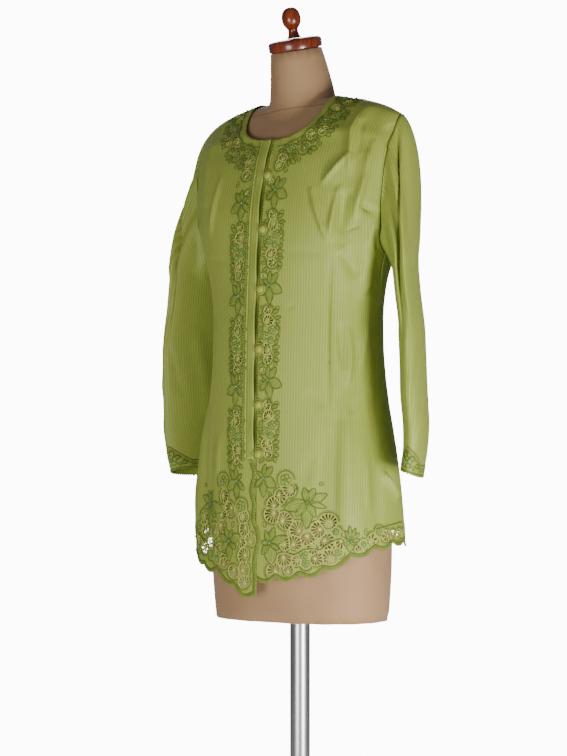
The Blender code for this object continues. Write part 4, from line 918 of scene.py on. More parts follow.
def cut_wheels(sheet):
    """Slots fan out from a worked heart that lies to one side of every cell."""
    centres = np.array([(w.round, w.height) for w in sheet.wheels])
    sizes = np.array([w.radius for w in sheet.wheels])
    for number, wheel in enumerate(sheet.wheels):
        centre = centres[number]
        side_way = HEART_TURN * number
        heart = polar(centre, wheel.radius * HEART_ASIDE[wheel.kind], side_way)
        first = wheel.radius * INNER_PART[wheel.kind]
        steps = np.arange(first, wheel.radius * 1.5, 0.0005)
        reach = []
        angles = side_way + 2 * math.pi * (np.arange(wheel.slots) + 0.31 * (number % 3)) / wheel.slots
        for angle in angles:
            line = polar(heart, steps, np.full(len(steps), angle))
            away = line - centre
            free = inside(line, sheet.outline) & (to_edge(line, sheet.outline) > EDGE_BAND)
            rim = cell_radius(wheel.radius, number, np.arctan2(away[:, 1], away[:, 0]))
            free &= np.linalg.norm(away, axis=1) < rim
            others = np.linalg.norm(line[:, None] - centres, axis=2) / sizes
            own = others[:, number].copy()
            others[:, number] = 9
            free &= own < others.min(axis=1) - 0.04
            for shape in sheet.solid:
                if np.linalg.norm(shape.mean(axis=0) - centre) < wheel.radius + 0.030:
                    free &= ~inside(line, shape) & (to_edge(line, shape) > SLOT_CLEAR)
            run = len(steps) if free.all() else int(np.argmin(free))
            reach.append(steps[run - 1] if run > 0 else first)
            if run * 0.0005 < 0.0024:
                continue
            far = reach[-1]
            far_half = min(0.00165, far * math.sin(math.pi / wheel.slots) - 0.00042)
            near_half = max(min(0.00060, first * math.sin(math.pi / wheel.slots) - 0.00034), 0.00020)
            if far_half < 0.0004:
                continue
            ahead = np.array([math.cos(angle), math.sin(angle)])
            aside = np.array([-ahead[1], ahead[0]])
            sheet.slots.append(np.array([
                heart + ahead * first - aside * near_half, heart + ahead * (far - 0.0007) - aside * far_half,
                heart + ahead * far, heart + ahead * (far - 0.0007) + aside * far_half,
                heart + ahead * first + aside * near_half]))
        reach = np.array(reach)
        between = angles + math.pi / wheel.slots
        for angle, far in zip(between, np.minimum(reach, np.roll(reach, -1))):
            if far > first + 0.0015:
                spoke = polar(heart, np.linspace(first * 0.7, far + 0.0004, 5), np.full(5, angle))
                sheet.cord("cream", spoke, CREAM_WIDTH * 0.75, RISE * 0.6)
        rim = polar(heart, reach + 0.0010, angles)
        sheet.cord("cream", rim, CREAM_WIDTH, RISE * 0.9, closed=True)
        if wheel.kind == "hub":
            sheet.hubs.append((heart, first * 0.8))
        else:
            curl(sheet, heart, first * 0.9, 40 * number, 1 if number % 2 else -1, "cream", 1.2)


HALOS = ((0.0024, "leaf", 0.0018), (0.0046, "band", 0.0013))


def outline_groups(sheet):
    """Two green cords round each group of wheels and blossoms, broken where shapes meet."""
    rounds = [(np.array((w.round, w.height)), w.radius, number) for number, w in enumerate(sheet.wheels)]
    rounds += [(centre, size, None) for centre, size in sheet.rounds]

    def reach(size, number, angle):
        return size + 0 * angle if number is None else cell_radius(size, number, angle)

    around = np.linspace(0, 2 * math.pi, 49)
    for centre, size, number in rounds:
        for halo, shade, width in HALOS:
            ring = polar(centre, reach(size, number, around) + halo, around)
            free = inside(ring, sheet.outline)
            free &= to_edge(ring, sheet.outline) > EDGE_BAND - 0.0006
            for middle, other, order in rounds:
                if middle is not centre:
                    away = ring - middle
                    far = reach(other, order, np.arctan2(away[:, 1], away[:, 0])) + halo - 0.0001
                    free &= np.linalg.norm(away, axis=1) > far
            for shape in sheet.solid:
                if np.linalg.norm(shape.mean(axis=0) - centre) < size + 0.030:
                    free &= ~inside(ring, shape)
            for run in np.split(np.arange(len(ring)), np.flatnonzero(np.diff(free.astype(int))) + 1):
                if free[run[0]] and len(run) > 4:
                    sheet.cords[shade].append((ring[run], width, RISE))


print("motifs ready")

# %% [markdown]
# ## Laying out the hem
# Kebaya hems are worked in a deep corner beside the opening that narrows to a border at the side.
# Big padded flowers hold the corner, cutwork wheels fill the room between them, and small
# blossoms with beads close the gaps. The tables give each motif's place on the flat panel.

# %% Hem tables
FLOWER_CORNER = (
    (104, 0.023, 0.012), (62, 0.024, 0.013), (22, 0.033, 0.014), (-16, 0.031, 0.009), (-62, 0.026, 0.012),
    (-92, 0.041, 0.018), (-130, 0.028, 0.014), (196, 0.039, 0.019))
FLOWER_LOW = (
    (112, 0.021, 0.01), (70, 0.026, 0.012), (18, 0.032, 0.013), (-30, 0.02, 0.009), (-84, 0.034, 0.022),
    (-128, 0.023, 0.012), (178, 0.015, 0.009))
FLOWER_STEM = (
    (118, 0.019, 0.006), (96, 0.024, 0.007), (70, 0.022, 0.007), (44, 0.019, 0.006), (8, 0.016, 0.007),
    (-92, 0.016, 0.013), (-40, 0.01, 0.006), (-148, 0.012, 0.006))
LEAF_FLOWER = (
    (86, 0.022, 0.009), (50, 0.024, 0.012), (-28, 0.026, 0.017), (-86, 0.03, 0.014), (-134, 0.022, 0.01),
    (140, 0.015, 0.007))
Bloom = namedtuple("Bloom", "round height petals")
Blossom = namedtuple("Blossom", "round height size")
Curl = namedtuple("Curl", "round height size turn hand")

LEFT_BLOOMS = table_of(Bloom,
    (0.0925, 0.7205, FLOWER_CORNER), (0.029, 0.657, FLOWER_LOW), (0.1585, 0.661, FLOWER_STEM))
LEFT_BLOSSOMS = table_of(Blossom,
    (0.057, 0.754, 0.0095), (0.0865, 0.6405, 0.007), (0.0905, 0.627, 0.0062), (0.1405, 0.644, 0.0055),
    (0.1365, 0.6755, 0.005), (0.21, 0.6745, 0.006), (0.18, 0.656, 0.0048))
LEFT_CURLS = table_of(Curl,
    (0.02, 0.684, 0.0055, 30, 1), (0.185, 0.674, 0.006, 200, -1), (0.075, 0.742, 0.005, 120, 1),
    (0.031, 0.732, 0.005, 210, -1), (0.113, 0.748, 0.0045, 90, -1))
LEFT_WHEELS = table_of(Wheel,
    (0.062, 0.74, 0.0125, 13, "curl"), (0.048, 0.7285, 0.012, 12, "hub"),
    (0.036, 0.718, 0.012, 13, "hub"), (0.0335, 0.7, 0.014, 16, "hub"), (0.056, 0.692, 0.014, 16, "hub"),
    (0.0755, 0.679, 0.0132, 15, "hub"), (0.093, 0.665, 0.0125, 14, "hub"),
    (0.072, 0.659, 0.0125, 14, "hub"), (0.108, 0.678, 0.0125, 14, "hub"), (0.123, 0.66, 0.013, 14, "hub"),
    (0.124, 0.691, 0.0145, 15, "curl"), (0.101, 0.65, 0.0105, 12, "curl"),
    (0.056, 0.657, 0.0105, 12, "curl"), (0.0355, 0.615, 0.0125, 14, "hub"),
    (0.055, 0.632, 0.0125, 14, "hub"), (0.062, 0.617, 0.0095, 11, "hub"),
    (0.0745, 0.631, 0.0085, 10, "curl"), (0.108, 0.634, 0.011, 12, "hub"),
    (0.1265, 0.637, 0.013, 14, "curl"), (0.144, 0.658, 0.009, 10, "hub"),
    (0.195, 0.662, 0.011, 8, "curl"), (0.2235, 0.668, 0.01, 8, "hub"), (0.241, 0.669, 0.0085, 7, "hub"),
    (0.172, 0.648, 0.007, 9, "hub"), (0.258, 0.67, 0.0085, 7, "hub"), (0.273, 0.67, 0.0075, 7, "curl"))

RIGHT_BLOOMS = table_of(Bloom,
    (0.05, 0.658, ((20, 0.026, 0.012), (66, 0.024, 0.011), (112, 0.02, 0.01), (160, 0.027, 0.016),
                   (-92, 0.032, 0.015), (-40, 0.024, 0.012), (-140, 0.02, 0.01))),
    (0.102, 0.715, FLOWER_CORNER), (0.16, 0.661, FLOWER_STEM))
RIGHT_BLOSSOMS = table_of(Blossom,
    (0.0235, 0.713, 0.0088), (0.065, 0.752, 0.0085), (0.095, 0.636, 0.0062), (0.1405, 0.644, 0.0055),
    (0.1365, 0.677, 0.005), (0.21, 0.6745, 0.006), (0.08, 0.629, 0.006), (0.242, 0.67, 0.0062),
    (0.273, 0.669, 0.0058))
RIGHT_CURLS = table_of(Curl,
    (0.0405, 0.683, 0.006, 30, 1), (0.03, 0.729, 0.005, 60, -1), (0.185, 0.674, 0.006, 200, -1),
    (0.125, 0.744, 0.005, 90, -1))
RIGHT_WHEELS = table_of(Wheel,
    (0.0185, 0.696, 0.011, 13, "curl"), (0.0175, 0.677, 0.011, 12, "hub"),
    (0.005, 0.662, 0.011, 12, "hub"), (0.023, 0.656, 0.0085, 10, "hub"), (0.019, 0.637, 0.012, 14, "hub"),
    (0.0175, 0.6155, 0.012, 14, "hub"), (0.04, 0.61, 0.012, 14, "hub"), (0.018, 0.596, 0.011, 12, "hub"),
    (0.062, 0.728, 0.011, 12, "hub"), (0.048, 0.708, 0.012, 13, "hub"), (0.068, 0.702, 0.013, 14, "hub"),
    (0.07, 0.678, 0.012, 13, "hub"), (0.088, 0.673, 0.012, 14, "hub"), (0.098, 0.656, 0.0105, 8, "hub"),
    (0.072, 0.644, 0.011, 12, "curl"), (0.118, 0.672, 0.0115, 9, "hub"), (0.124, 0.693, 0.012, 9, "curl"),
    (0.118, 0.645, 0.011, 7, "curl"), (0.062, 0.623, 0.01, 11, "hub"), (0.144, 0.658, 0.0085, 5, "hub"),
    (0.195, 0.664, 0.009, 5, "hub"), (0.225, 0.67, 0.0085, 5, "hub"), (0.172, 0.648, 0.007, 7, "hub"),
    (0.258, 0.67, 0.008, 5, "hub"))

left_sheet = WorkSheet(OUTLINES["left"])
right_sheet = WorkSheet(OUTLINES["right"])
back_sheet = WorkSheet(OUTLINES["back"])


def work_hem(sheet, blooms, blossoms, curls, table):
    for bloom in blooms:
        flower(sheet, (bloom.round, bloom.height), bloom.petals)
    for number, one in enumerate(blossoms):
        blossom(sheet, (one.round, one.height), one.size, 25 * number)
    for one in curls:
        curl(sheet, (one.round, one.height), one.size, one.turn, one.hand)
    sheet.wheels.extend(table)


work_hem(left_sheet, LEFT_BLOOMS, LEFT_BLOSSOMS, LEFT_CURLS, LEFT_WHEELS)
work_hem(right_sheet, RIGHT_BLOOMS, RIGHT_BLOSSOMS, RIGHT_CURLS, RIGHT_WHEELS)
print("petals on the hem:", len(left_sheet.petals) + len(right_sheet.petals))

# %% [markdown]
# ## The lace columns
# The same leaf flower climbs each side of the opening, about 150 mm apart, with blossoms, tendrils
# and small wheels between. One function works a repeat from its place and its
# height, and each repeat is turned and moved a little, as hand-guided embroidery is.

# %% Columns
COLUMN_HEIGHTS = {1: (1.2025, 1.0545, 0.9080, 0.7570), -1: (1.1860, 1.0400, 0.8990, 0.7525)}
COLUMN_PLACE = {1: 0.0235, -1: 0.0350}
DRIFT = (0.0022, -0.0008, 0.0010, -0.0055)


ColumnLeaf = namedtuple("ColumnLeaf", "aside below angle length width")
COLUMN_LEAVES = table_of(ColumnLeaf,
    (0.0072, -0.044, 25, 0.0125, 0.007), (-0.008, -0.047, 205, 0.0095, 0.006),
    (-0.01, -0.062, 250, 0.012, 0.0065), (0.0085, -0.0985, 15, 0.013, 0.0075),
    (-0.0105, -0.093, 150, 0.009, 0.006), (0.0095, -0.113, -25, 0.012, 0.007),
    (-0.0065, -0.121, 215, 0.011, 0.006), (0.001, -0.029, -75, 0.008, 0.005),
    (0.012, -0.052, 12, 0.0105, 0.006), (-0.0105, -0.0545, 165, 0.009, 0.0052),
    (0.012, -0.064, -30, 0.01, 0.0058), (-0.011, -0.07, 200, 0.0085, 0.005),
    (0.0125, -0.0915, 48, 0.0095, 0.0056), (-0.011, -0.101, 188, 0.009, 0.0052),
    (0.011, -0.107, 6, 0.01, 0.0056), (-0.011, -0.114, 170, 0.0085, 0.005))
ColumnCurl = namedtuple("ColumnCurl", "aside below size turn hand")
COLUMN_CURLS = table_of(ColumnCurl,
    (0.0165, -0.037, 0.0058, 150, 1), (0.0185, -0.057, 0.0045, 210, -1), (-0.012, -0.035, 0.0042, 30, -1),
    (0.0185, -0.08, 0.005, 170, 1), (-0.0125, -0.082, 0.004, 20, 1), (0.016, -0.102, 0.0052, 210, -1),
    (-0.012, -0.108, 0.0042, -20, -1), (0.0155, -0.123, 0.0048, 160, 1))


COLUMN_WHEELS = table_of(Wheel,
    (-0.001, -0.039, 0.0072, 9, "hub"), (0.0005, -0.0545, 0.009, 11, "curl"),
    (-0.0015, -0.099, 0.0092, 11, "curl"), (0.001, -0.114, 0.0078, 9, "hub"),
    (-0.0105, -0.008, 0.0046, 7, "fan"), (-0.01, 0.014, 0.0046, 7, "fan"))


def work_column(sheet, side):
    for number, high in enumerate(COLUMN_HEIGHTS[side]):
        place = COLUMN_PLACE[side] + DRIFT[number] * (1 if side == 1 else 0.4)
        tilt = (number % 3 - 1) * 4
        flower(sheet, (place, high), [(angle + tilt, length, width) for angle, length, width in LEAF_FLOWER])
        curl(sheet, (place + 0.0150, high + 0.0300), 0.0055, 200 + 20 * number, -1)
        if number == 3:
            continue
        for one in COLUMN_CURLS:
            curl(sheet, (place + one.aside, high + one.below), one.size, one.turn + 3 * tilt, one.hand)
        for leaf in COLUMN_LEAVES:
            petal(sheet, (place + leaf.aside, high + leaf.below), leaf.angle + tilt, leaf.length, leaf.width)
        blossom(sheet, (place + 0.0080, high - 0.0700), 0.0072, 10 + tilt)
        blossom(sheet, (place - 0.0050, high - 0.0785), 0.0068, 40 + tilt)
        blossom(sheet, (place + 0.0055, high - 0.0855), 0.0056, 70 + tilt)
        sheet.wheels += [Wheel(place + one.round, high + one.height, one.radius, one.slots, one.kind)
                         for one in COLUMN_WHEELS]


def work_neck(sheet, side):
    """Lace that follows the neckline from the opening up to the shoulder, in two staggered rows."""
    neck = neck_outline(side)
    run = unit(np.gradient(neck, axis=0))
    aside = stacked(run[:, 1], -run[:, 0])
    for number, index in enumerate(range(6, 39, 3)):
        spot = neck[index] + aside[index] * (0.0215 if number % 2 else 0.0345)
        if number % 4 in (0, 3):
            sheet.wheels.append(Wheel(*spot, 0.0080, 10, "curl" if number % 4 else "hub"))
        else:
            blossom(sheet, tuple(spot), 0.0068, 30 * number)
        ahead = math.degrees(math.atan2(*run[index][::-1]))
        if number % 2 == 0:
            petal(sheet, tuple(neck[index] + aside[index] * 0.0185), ahead + 25, 0.0095, 0.0055)
        other = neck[index] + aside[index] * (0.0345 if number % 2 else 0.0215)
        for swing in (-58, 58, 178):
            petal(sheet, tuple(other), ahead + swing, 0.0088, 0.0054)
    for number, index in enumerate(range(8, 38, 5)):
        outward = math.degrees(math.atan2(*aside[index][::-1]))
        start = neck[index] + aside[index] * 0.0400
        petal(sheet, tuple(start), outward + 38, 0.0150, 0.0080)
        petal(sheet, tuple(start), outward - 14, 0.0125, 0.0070)
        spot = neck[index + 2] + aside[index + 2] * 0.0480
        curl(sheet, tuple(spot), 0.0052, outward + 120, 1 if number % 2 else -1)
    line = neck[3:40] + aside[3:40] * 0.0125
    sheet.cord("leaf", line, 0.0015)
    sheet.cord("light", line + aside[3:40] * 0.0018, 0.0010)


for sheet, side in ((left_sheet, 1), (right_sheet, -1)):
    work_column(sheet, side)
    work_neck(sheet, side)
left_sheet.wheels += table_of(
    Wheel, (0.0270, 1.2430, 0.0085, 10, "curl"), (0.0260, 0.8020, 0.0080, 10, "hub"))
right_sheet.wheels += table_of(
    Wheel, (0.0330, 1.2300, 0.0090, 11, "hub"), (0.0330, 1.2480, 0.0075, 9, "curl"),
    (0.0330, 0.7900, 0.0080, 10, "hub"))
print("wheels:", len(left_sheet.wheels) + len(right_sheet.wheels))

# %% [markdown]
# ## Borders
# A satin-stitched band finishes the hem, with small picots standing off its edge. Inside it a
# second cord swings along in arcs. The side border has a straight cord over its top. The
# back carries the same border all the way across, with a flower at each repeat.

# %% Borders and the back's hem
PICOT_STEP = 0.0043


def inner_arcs(table, start, end, rise, swing):
    distance = np.linspace(start, end, 90)
    arcs = swing * np.abs(np.sin(math.pi * distance / SCALLOP_WIDTH + 0.6))
    return stacked(distance, hem_height(table, distance) + rise + arcs)


def straight_top(table, start, end, rise):
    distance = np.linspace(start, end, 40)
    return stacked(distance, hem_height(table, distance) + rise)


for sheet, table in ((left_sheet, HEM_LEFT), (right_sheet, HEM_RIGHT)):
    arcs = inner_arcs(table, 0.046, 0.146, 0.030, 0.006)
    sheet.cord("leaf", arcs)
    sheet.cord("cream", arcs - (0, 0.0020), CREAM_WIDTH)
    top = straight_top(table, 0.203, 0.276, 0.0265)
    sheet.cord("leaf", top)
    sheet.cord("light", top + (0, 0.0018), VEIN_WIDTH)

BACK_REPEAT = 0.090
BACK_HALF = 0.176
for number in range(-1, 2):
    middle = number * BACK_REPEAT
    flower(back_sheet, (middle, HEM_BACK + 0.0140), FLOWER_STEM)
    curl(back_sheet, (middle + 0.024, HEM_BACK + 0.0300), 0.0052, 200, -1)
    curl(back_sheet, (middle - 0.024, HEM_BACK + 0.0300), 0.0052, -20, 1)
for hand in (-1, 1):
    for place, kind in ((0.028, "hub"), (0.062, "curl"), (0.118, "hub"), (0.153, "curl"), (0.171, "hub")):
        back_sheet.wheels.append(Wheel(hand * place, HEM_BACK + 0.0115, 0.0105, 12, kind))
    blossom(back_sheet, (hand * BACK_REPEAT / 2, HEM_BACK + 0.0150), 0.0062, 20)
    blossom(back_sheet, (hand * BACK_REPEAT * 1.5, HEM_BACK + 0.0150), 0.0062, 50)
back_top = inner_arcs(None, -BACK_HALF, BACK_HALF, 0.0250, 0.0035)
back_sheet.cord("leaf", back_top)
back_sheet.cord("light", back_top + (0, 0.0018), VEIN_WIDTH)

for sheet in (left_sheet, right_sheet, back_sheet):
    cut_wheels(sheet)
    outline_groups(sheet)
    print("slots:", len(sheet.slots), "cords:", sum(len(runs) for runs in sheet.cords.values()))

# %% [markdown]
# ## Finishing a piece
# Every piece ends the same way: a mesh at the origin with its place in its vertices, a material
# and a body to ride on. The map holds metres on the flat cloth.

# %% Finish function
def place_piece(name, mesh, material, nodes):
    """Put a finished mesh in the scene, with its material and its body, and hide the nodes it stands for."""
    mesh.shade_smooth()
    mesh.materials.append(material)
    item = bpy.data.objects.new(name, mesh)
    bpy.context.scene.collection.objects.link(item)
    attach(item, "root")
    if nodes:
        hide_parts(*nodes)
    return item


def cloth_piece(name, points, faces, material, flat, nodes=()):
    """A piece of the blouse from its points and faces, with its flat map."""
    mesh = bpy.data.meshes.new(name)
    mesh.from_pydata([tuple(p) for p in points], [], [tuple(int(i) for i in f) for f in faces])
    mesh.update()
    layer = mesh.uv_layers.new(name="UVMap")
    corners = np.empty(len(mesh.loops), dtype=int)
    mesh.loops.foreach_get("vertex_index", corners)
    layer.data.foreach_set("uv", np.asarray(flat, dtype=float)[corners].ravel())
    return place_piece(name, mesh, material, nodes)


def bmesh_piece(name, work, material, nodes, mapped=False):
    """Finish a bmesh as a piece, mapped by its side and its height if it needs a map."""
    bmesh.ops.recalc_face_normals(work, faces=work.faces)
    if mapped:
        layer = work.loops.layers.uv.new("UVMap")
        for face in work.faces:
            for corner in face.loops:
                corner[layer].uv = (corner.vert.co.x, corner.vert.co.z)
    mesh = bpy.data.meshes.new(name)
    work.to_mesh(mesh)
    work.free()
    return place_piece(name, mesh, material, nodes)


def give_thickness(item):
    wall = item.modifiers.new("wall", "SOLIDIFY")
    wall.thickness = CLOTH
    wall.offset = 0.0


print("finish ready")

# %% [markdown]
# ## Sewing the panels
# Each panel is triangulated flat, with its slots cut out of it, and then laid on the body. A flat
# grid of points not quite four millimetres apart lets the cloth follow its folds. The Solidify
# modifier gives the wall its thickness after the cloth is in place.

# %% Panels
PANEL_GRID = 0.0037
CREASE_STEP = 0.0030
CREASE_OFFSETS = (-1.5, -0.8, -0.35, 0.0, 0.35, 0.8, 1.5)
CREASE_WIDEST = 0.0065


def crease_points(side):
    """Extra points beside every narrow fold, so that it stays crisp."""
    rows = []
    for fold in FOLDS + FINE_FOLDS:
        if fold.width > CREASE_WIDEST or not (fold.side == side or fold.side == 0 and side != 2):
            continue
        start = np.array((fold.round_a, fold.height_a))
        run = np.array((fold.round_b, fold.height_b)) - start
        length = np.linalg.norm(run)
        aside = np.array((run[1], -run[0])) / length * fold.width
        part = np.linspace(-0.1, 1.1, int(length * 1.2 / CREASE_STEP) + 2)
        rows += [start + run * part[:, None] + aside * offset for offset in CREASE_OFFSETS]
    if side == 1:
        heights = np.arange(BUTTON_HEIGHTS[-1], NECK_STOP, CREASE_STEP)
        rows += [stacked(DIP_PLACE + DIP_WIDTH * offset, heights)
                 for offset in CREASE_OFFSETS]
    return np.concatenate(rows)


def cut_flat(sheet, side):
    """Triangles of the flat panel, without its slots."""
    outline = sheet.outline
    low = outline.min(axis=0)
    high = outline.max(axis=0)
    rows = []
    for number, level in enumerate(np.arange(low[1], high[1], PANEL_GRID * 0.87)):
        row = np.arange(low[0] + PANEL_GRID / 2 * (number % 2), high[0], PANEL_GRID)
        rows.append(stacked(row, level))
    fill = np.concatenate(rows + [crease_points(side)])
    fill = fill[inside(fill, outline)]
    fill = fill[to_edge(fill, outline) > PANEL_GRID * 0.4]
    for slot in sheet.slots:
        near = np.abs(fill - slot.mean(axis=0)).max(axis=1) < 0.012
        drop = np.zeros(len(fill), dtype=bool)
        drop[near] = to_edge(fill[near], slot) < 0.0012
        drop[near] |= inside(fill[near], slot)
        fill = fill[~drop]
    loops = [outline] + sheet.slots
    edges = []
    start = 0
    for loop in loops:
        edges += [(start + i, start + (i + 1) % len(loop)) for i in range(len(loop))]
        start += len(loop)
    points = [Vector(p) for p in np.concatenate(loops + [fill])]
    flat, _, triangles, _, _, _ = delaunay_2d_cdt(points, edges, [], 0, 1e-7)
    flat = np.array([tuple(p) for p in flat])
    triangles = np.array(triangles)
    middles = flat[triangles].mean(axis=1)
    keep = inside(middles, outline)
    for slot in sheet.slots:
        near = np.flatnonzero(np.abs(middles - slot.mean(axis=0)).max(axis=1) < 0.012)
        keep[near[inside(middles[near], slot)]] = False
    triangles = triangles[keep]
    used = np.unique(triangles)
    renumber = np.zeros(len(flat), dtype=int)
    renumber[used] = np.arange(len(used))
    return flat[used], renumber[triangles]


def sew(node, sheet, ground):
    flat, triangles = cut_flat(sheet, ground.side)
    if ground.side != 1:
        triangles = triangles[:, ::-1]
    name = f"{node}_cloth"
    item = cloth_piece(name, ground.frame(flat)[0], triangles, satin, flat, (node,))
    give_thickness(item)
    wide, tall = sheet.outline.max(axis=0) - sheet.outline.min(axis=0)
    x, y = sheet.outline.T
    area = abs(float(np.sum(x * np.roll(y, -1) - y * np.roll(x, -1)))) / 2
    print(name, "has", len(triangles), "triangles before its wall")


sew("left_front", left_sheet, left_ground)
sew("right_front", right_sheet, right_ground)
sew("back", back_sheet, back_ground)

# %% [markdown]
# ## Cords, fillings and picots
# A cord is a low rounded ridge of stitches. It is swept along its line with five points across,
# and the same frames that place it also bend it to the body. All cords of one shade on
# one panel are joined, because hundreds of separate objects would be slow to handle.

# %% Sweep the cords
OUTER = CLOTH / 2
CORD_STEP = 0.0016
CORD_END = 0.55
CORD_MAP = 0.0006
CORD_ACROSS = ((-0.50, -0.15), (-0.36, 0.72), (0.0, 1.0), (0.36, 0.72), (0.50, -0.15))


def even_run(points, step):
    travelled = travelled_along(points)
    even = np.linspace(0, travelled[-1], max(int(travelled[-1] / step), 2) + 1)
    return points_at(even, travelled, points), even


def sweep_cords(runs, ground):
    """Points, faces and map of every cord in a list of (flat line, width, rise)."""
    lines = [even_run(line, CORD_STEP) for line, _, _ in runs]
    flat = np.concatenate([line for line, _ in lines])
    middle, normal = ground.frame(flat)
    points = []
    faces = []
    places = []
    start = 0
    across = len(CORD_ACROSS)
    for (line, travelled), (_, width, rise) in zip(lines, runs):
        count = len(line)
        here = middle[start:start + count]
        out = normal[start:start + count]
        aside = np.cross(out, np.gradient(here, axis=0))
        aside /= np.maximum(np.linalg.norm(aside, axis=1), 1e-9)[:, None]
        taper = np.ones(count)
        taper[[0, -1]] = CORD_END
        first = sum(len(p) for p in points)
        ring = [here + aside * (width * a * taper)[:, None] + out * (OUTER + rise * b * taper)[:, None]
                for a, b in CORD_ACROSS]
        points.append(np.stack(ring, axis=1).reshape(-1, 3))
        places.append(stacked(np.repeat(travelled, across), np.tile(np.arange(across) * CORD_MAP, count)))
        row = first + np.arange(count - 1)[:, None] * across
        k = np.arange(across)
        after = (k + 1) % across
        quads = np.stack([row + k, row + across + k, row + across + after, row + after], axis=2)
        faces += quads.reshape(-1, 4).tolist()
        faces.append([first + i for i in range(across)])
        faces.append([first + (count - 1) * across + i for i in reversed(range(across))])
        start += count
    return np.concatenate(points), faces, np.concatenate(places)


def lay_cords(owner, sheet, shade, ground):
    name = f"{owner}_{shade}_cords"
    points, faces, places = sweep_cords(sheet.cords[shade], ground)
    item = cloth_piece(name, points, faces, THREADS[shade], places)
    work = bmesh.new()
    work.from_mesh(item.data)
    bmesh.ops.recalc_face_normals(work, faces=work.faces)
    work.to_mesh(item.data)
    work.free()
    print(name, "faces:", len(faces))


# %% [markdown]
# ## Petals, hubs, picots and beads
# A petal is padded under its stitches, so it is a low dome: its outline on the cloth, two smaller
# rings that stand higher, and a crown. The worked middle of a wheel is a small dome too.
# Picots and beads start from one icosphere that is copied to every place.

# %% Domes and scattered shapes
DOME_RINGS = ((1.0, 0.10), (0.72, 0.75), (0.35, 1.0))
DOME_CROWN = 1.05


def raise_domes(name, shapes, ground, shade, rise):
    flat = []
    lift = []
    faces = []
    for shape in shapes:
        first = len(flat)
        count = len(shape)
        middle = shape.mean(axis=0)
        for size, high in DOME_RINGS:
            flat += [tuple(p) for p in middle + (shape - middle) * size]
            lift += [OUTER + rise * high] * count
        flat.append(tuple(middle))
        lift.append(OUTER + rise * DOME_CROWN)
        for ring in range(len(DOME_RINGS) - 1):
            a = first + ring * count
            for i in range(count):
                j = (i + 1) % count
                faces.append((a + i, a + j, a + count + j, a + count + i))
        a = first + (len(DOME_RINGS) - 1) * count
        top = first + len(DOME_RINGS) * count
        faces += [(a + i, a + (i + 1) % count, top) for i in range(count)]
    flat = np.array(flat)
    point, normal = ground.frame(flat)
    if ground.facing() < 0:
        faces = [face[::-1] for face in faces]
    cloth_piece(name, point + normal * np.array(lift)[:, None], faces, THREADS[shade], flat)


def unit_ball():
    work = bmesh.new()
    bmesh.ops.create_icosphere(work, subdivisions=2, radius=1.0)
    corners = np.array([tuple(v.co) for v in work.verts])
    faces = np.array([[v.index for v in face.verts] for face in work.faces])
    work.free()
    return corners, faces


BALL = unit_ball()


def scatter(name, ground, flat, size, flatness, base, material):
    """One copy of a ball at every place, flattened against the cloth."""
    corners, faces = BALL
    point, normal = ground.frame(np.array(flat))
    helper = np.where(np.abs(normal[:, 2:]) < 0.9, [[0.0, 0.0, 1.0]], [[1.0, 0.0, 0.0]])
    across = unit(np.cross(helper, normal))
    up = np.cross(normal, across)
    x, y, z = corners.T
    placed = (point + normal * base)[:, None] + size * (
        x[None, :, None] * across[:, None] + y[None, :, None] * up[:, None]
        + flatness * z[None, :, None] * normal[:, None])
    shift = np.arange(len(point))[:, None, None] * len(corners)
    cloth_piece(name, placed.reshape(-1, 3), (faces[None] + shift).reshape(-1, 3), material,
                np.repeat(np.array(flat), len(corners), axis=0))


print("ball corners:", len(BALL[0]))

# %% [markdown]
# ## The satin band
# The band is two rows of thread close beside the panel's free edge, with a thin cord inside them.
# Picots sit every 4.3 millimetres along the very edge. All of them stop where a seam begins, so
# the outline is cut into its free stretches first.

# %% Bands and picots
def free_edge(side, table):
    """The hem from the opening to the side, on a panel's flat map."""
    if side == 2:
        edge = float(side_edge(BACK, HEM_BACK)) - 0.002
        return hem_outline(None, -edge, edge)
    start = LEFT_EDGE if side == 1 else -RIGHT_EDGE[0][1]
    return hem_outline(table, start + 0.003, float(side_edge(FRONT, table[-1][1])) - 0.002)


def inset(line, amount):
    run = unit(np.gradient(line, axis=0))
    return line + stacked(-run[:, 1], run[:, 0]) * amount


def opening_line():
    """The right front's waved edge below the strip, from the bottom up."""
    free = np.linspace(RIGHT_EDGE[0][0] + 0.002, RIGHT_EDGE[-1][0] - 0.002, 110)
    return stacked(-smooth_columns(RIGHT_EDGE, free)[:, 0], free)


EDGES = {"left": [free_edge(1, HEM_LEFT)], "right": [free_edge(-1, HEM_RIGHT), opening_line()[::-1]],
         "back": [free_edge(2, None)]}
BAND_ROWS = (0.0011, 0.0029)
PETAL_RISE = 0.0006
HUB_RISE = 0.0008
BEAD_LIFT = 0.0012
BEAD_FLATNESS = 0.85
GROUNDS = {"left": left_ground, "right": right_ground, "back": back_ground}
SHEETS = {"left": left_sheet, "right": right_sheet, "back": back_sheet}
for key, sheet in SHEETS.items():
    for line in EDGES[key]:
        for amount in BAND_ROWS:
            sheet.cords["band"].append((inset(line, amount), 0.0021, 0.0008))
        sheet.cord("leaf", inset(line, 0.0046), 0.0014)

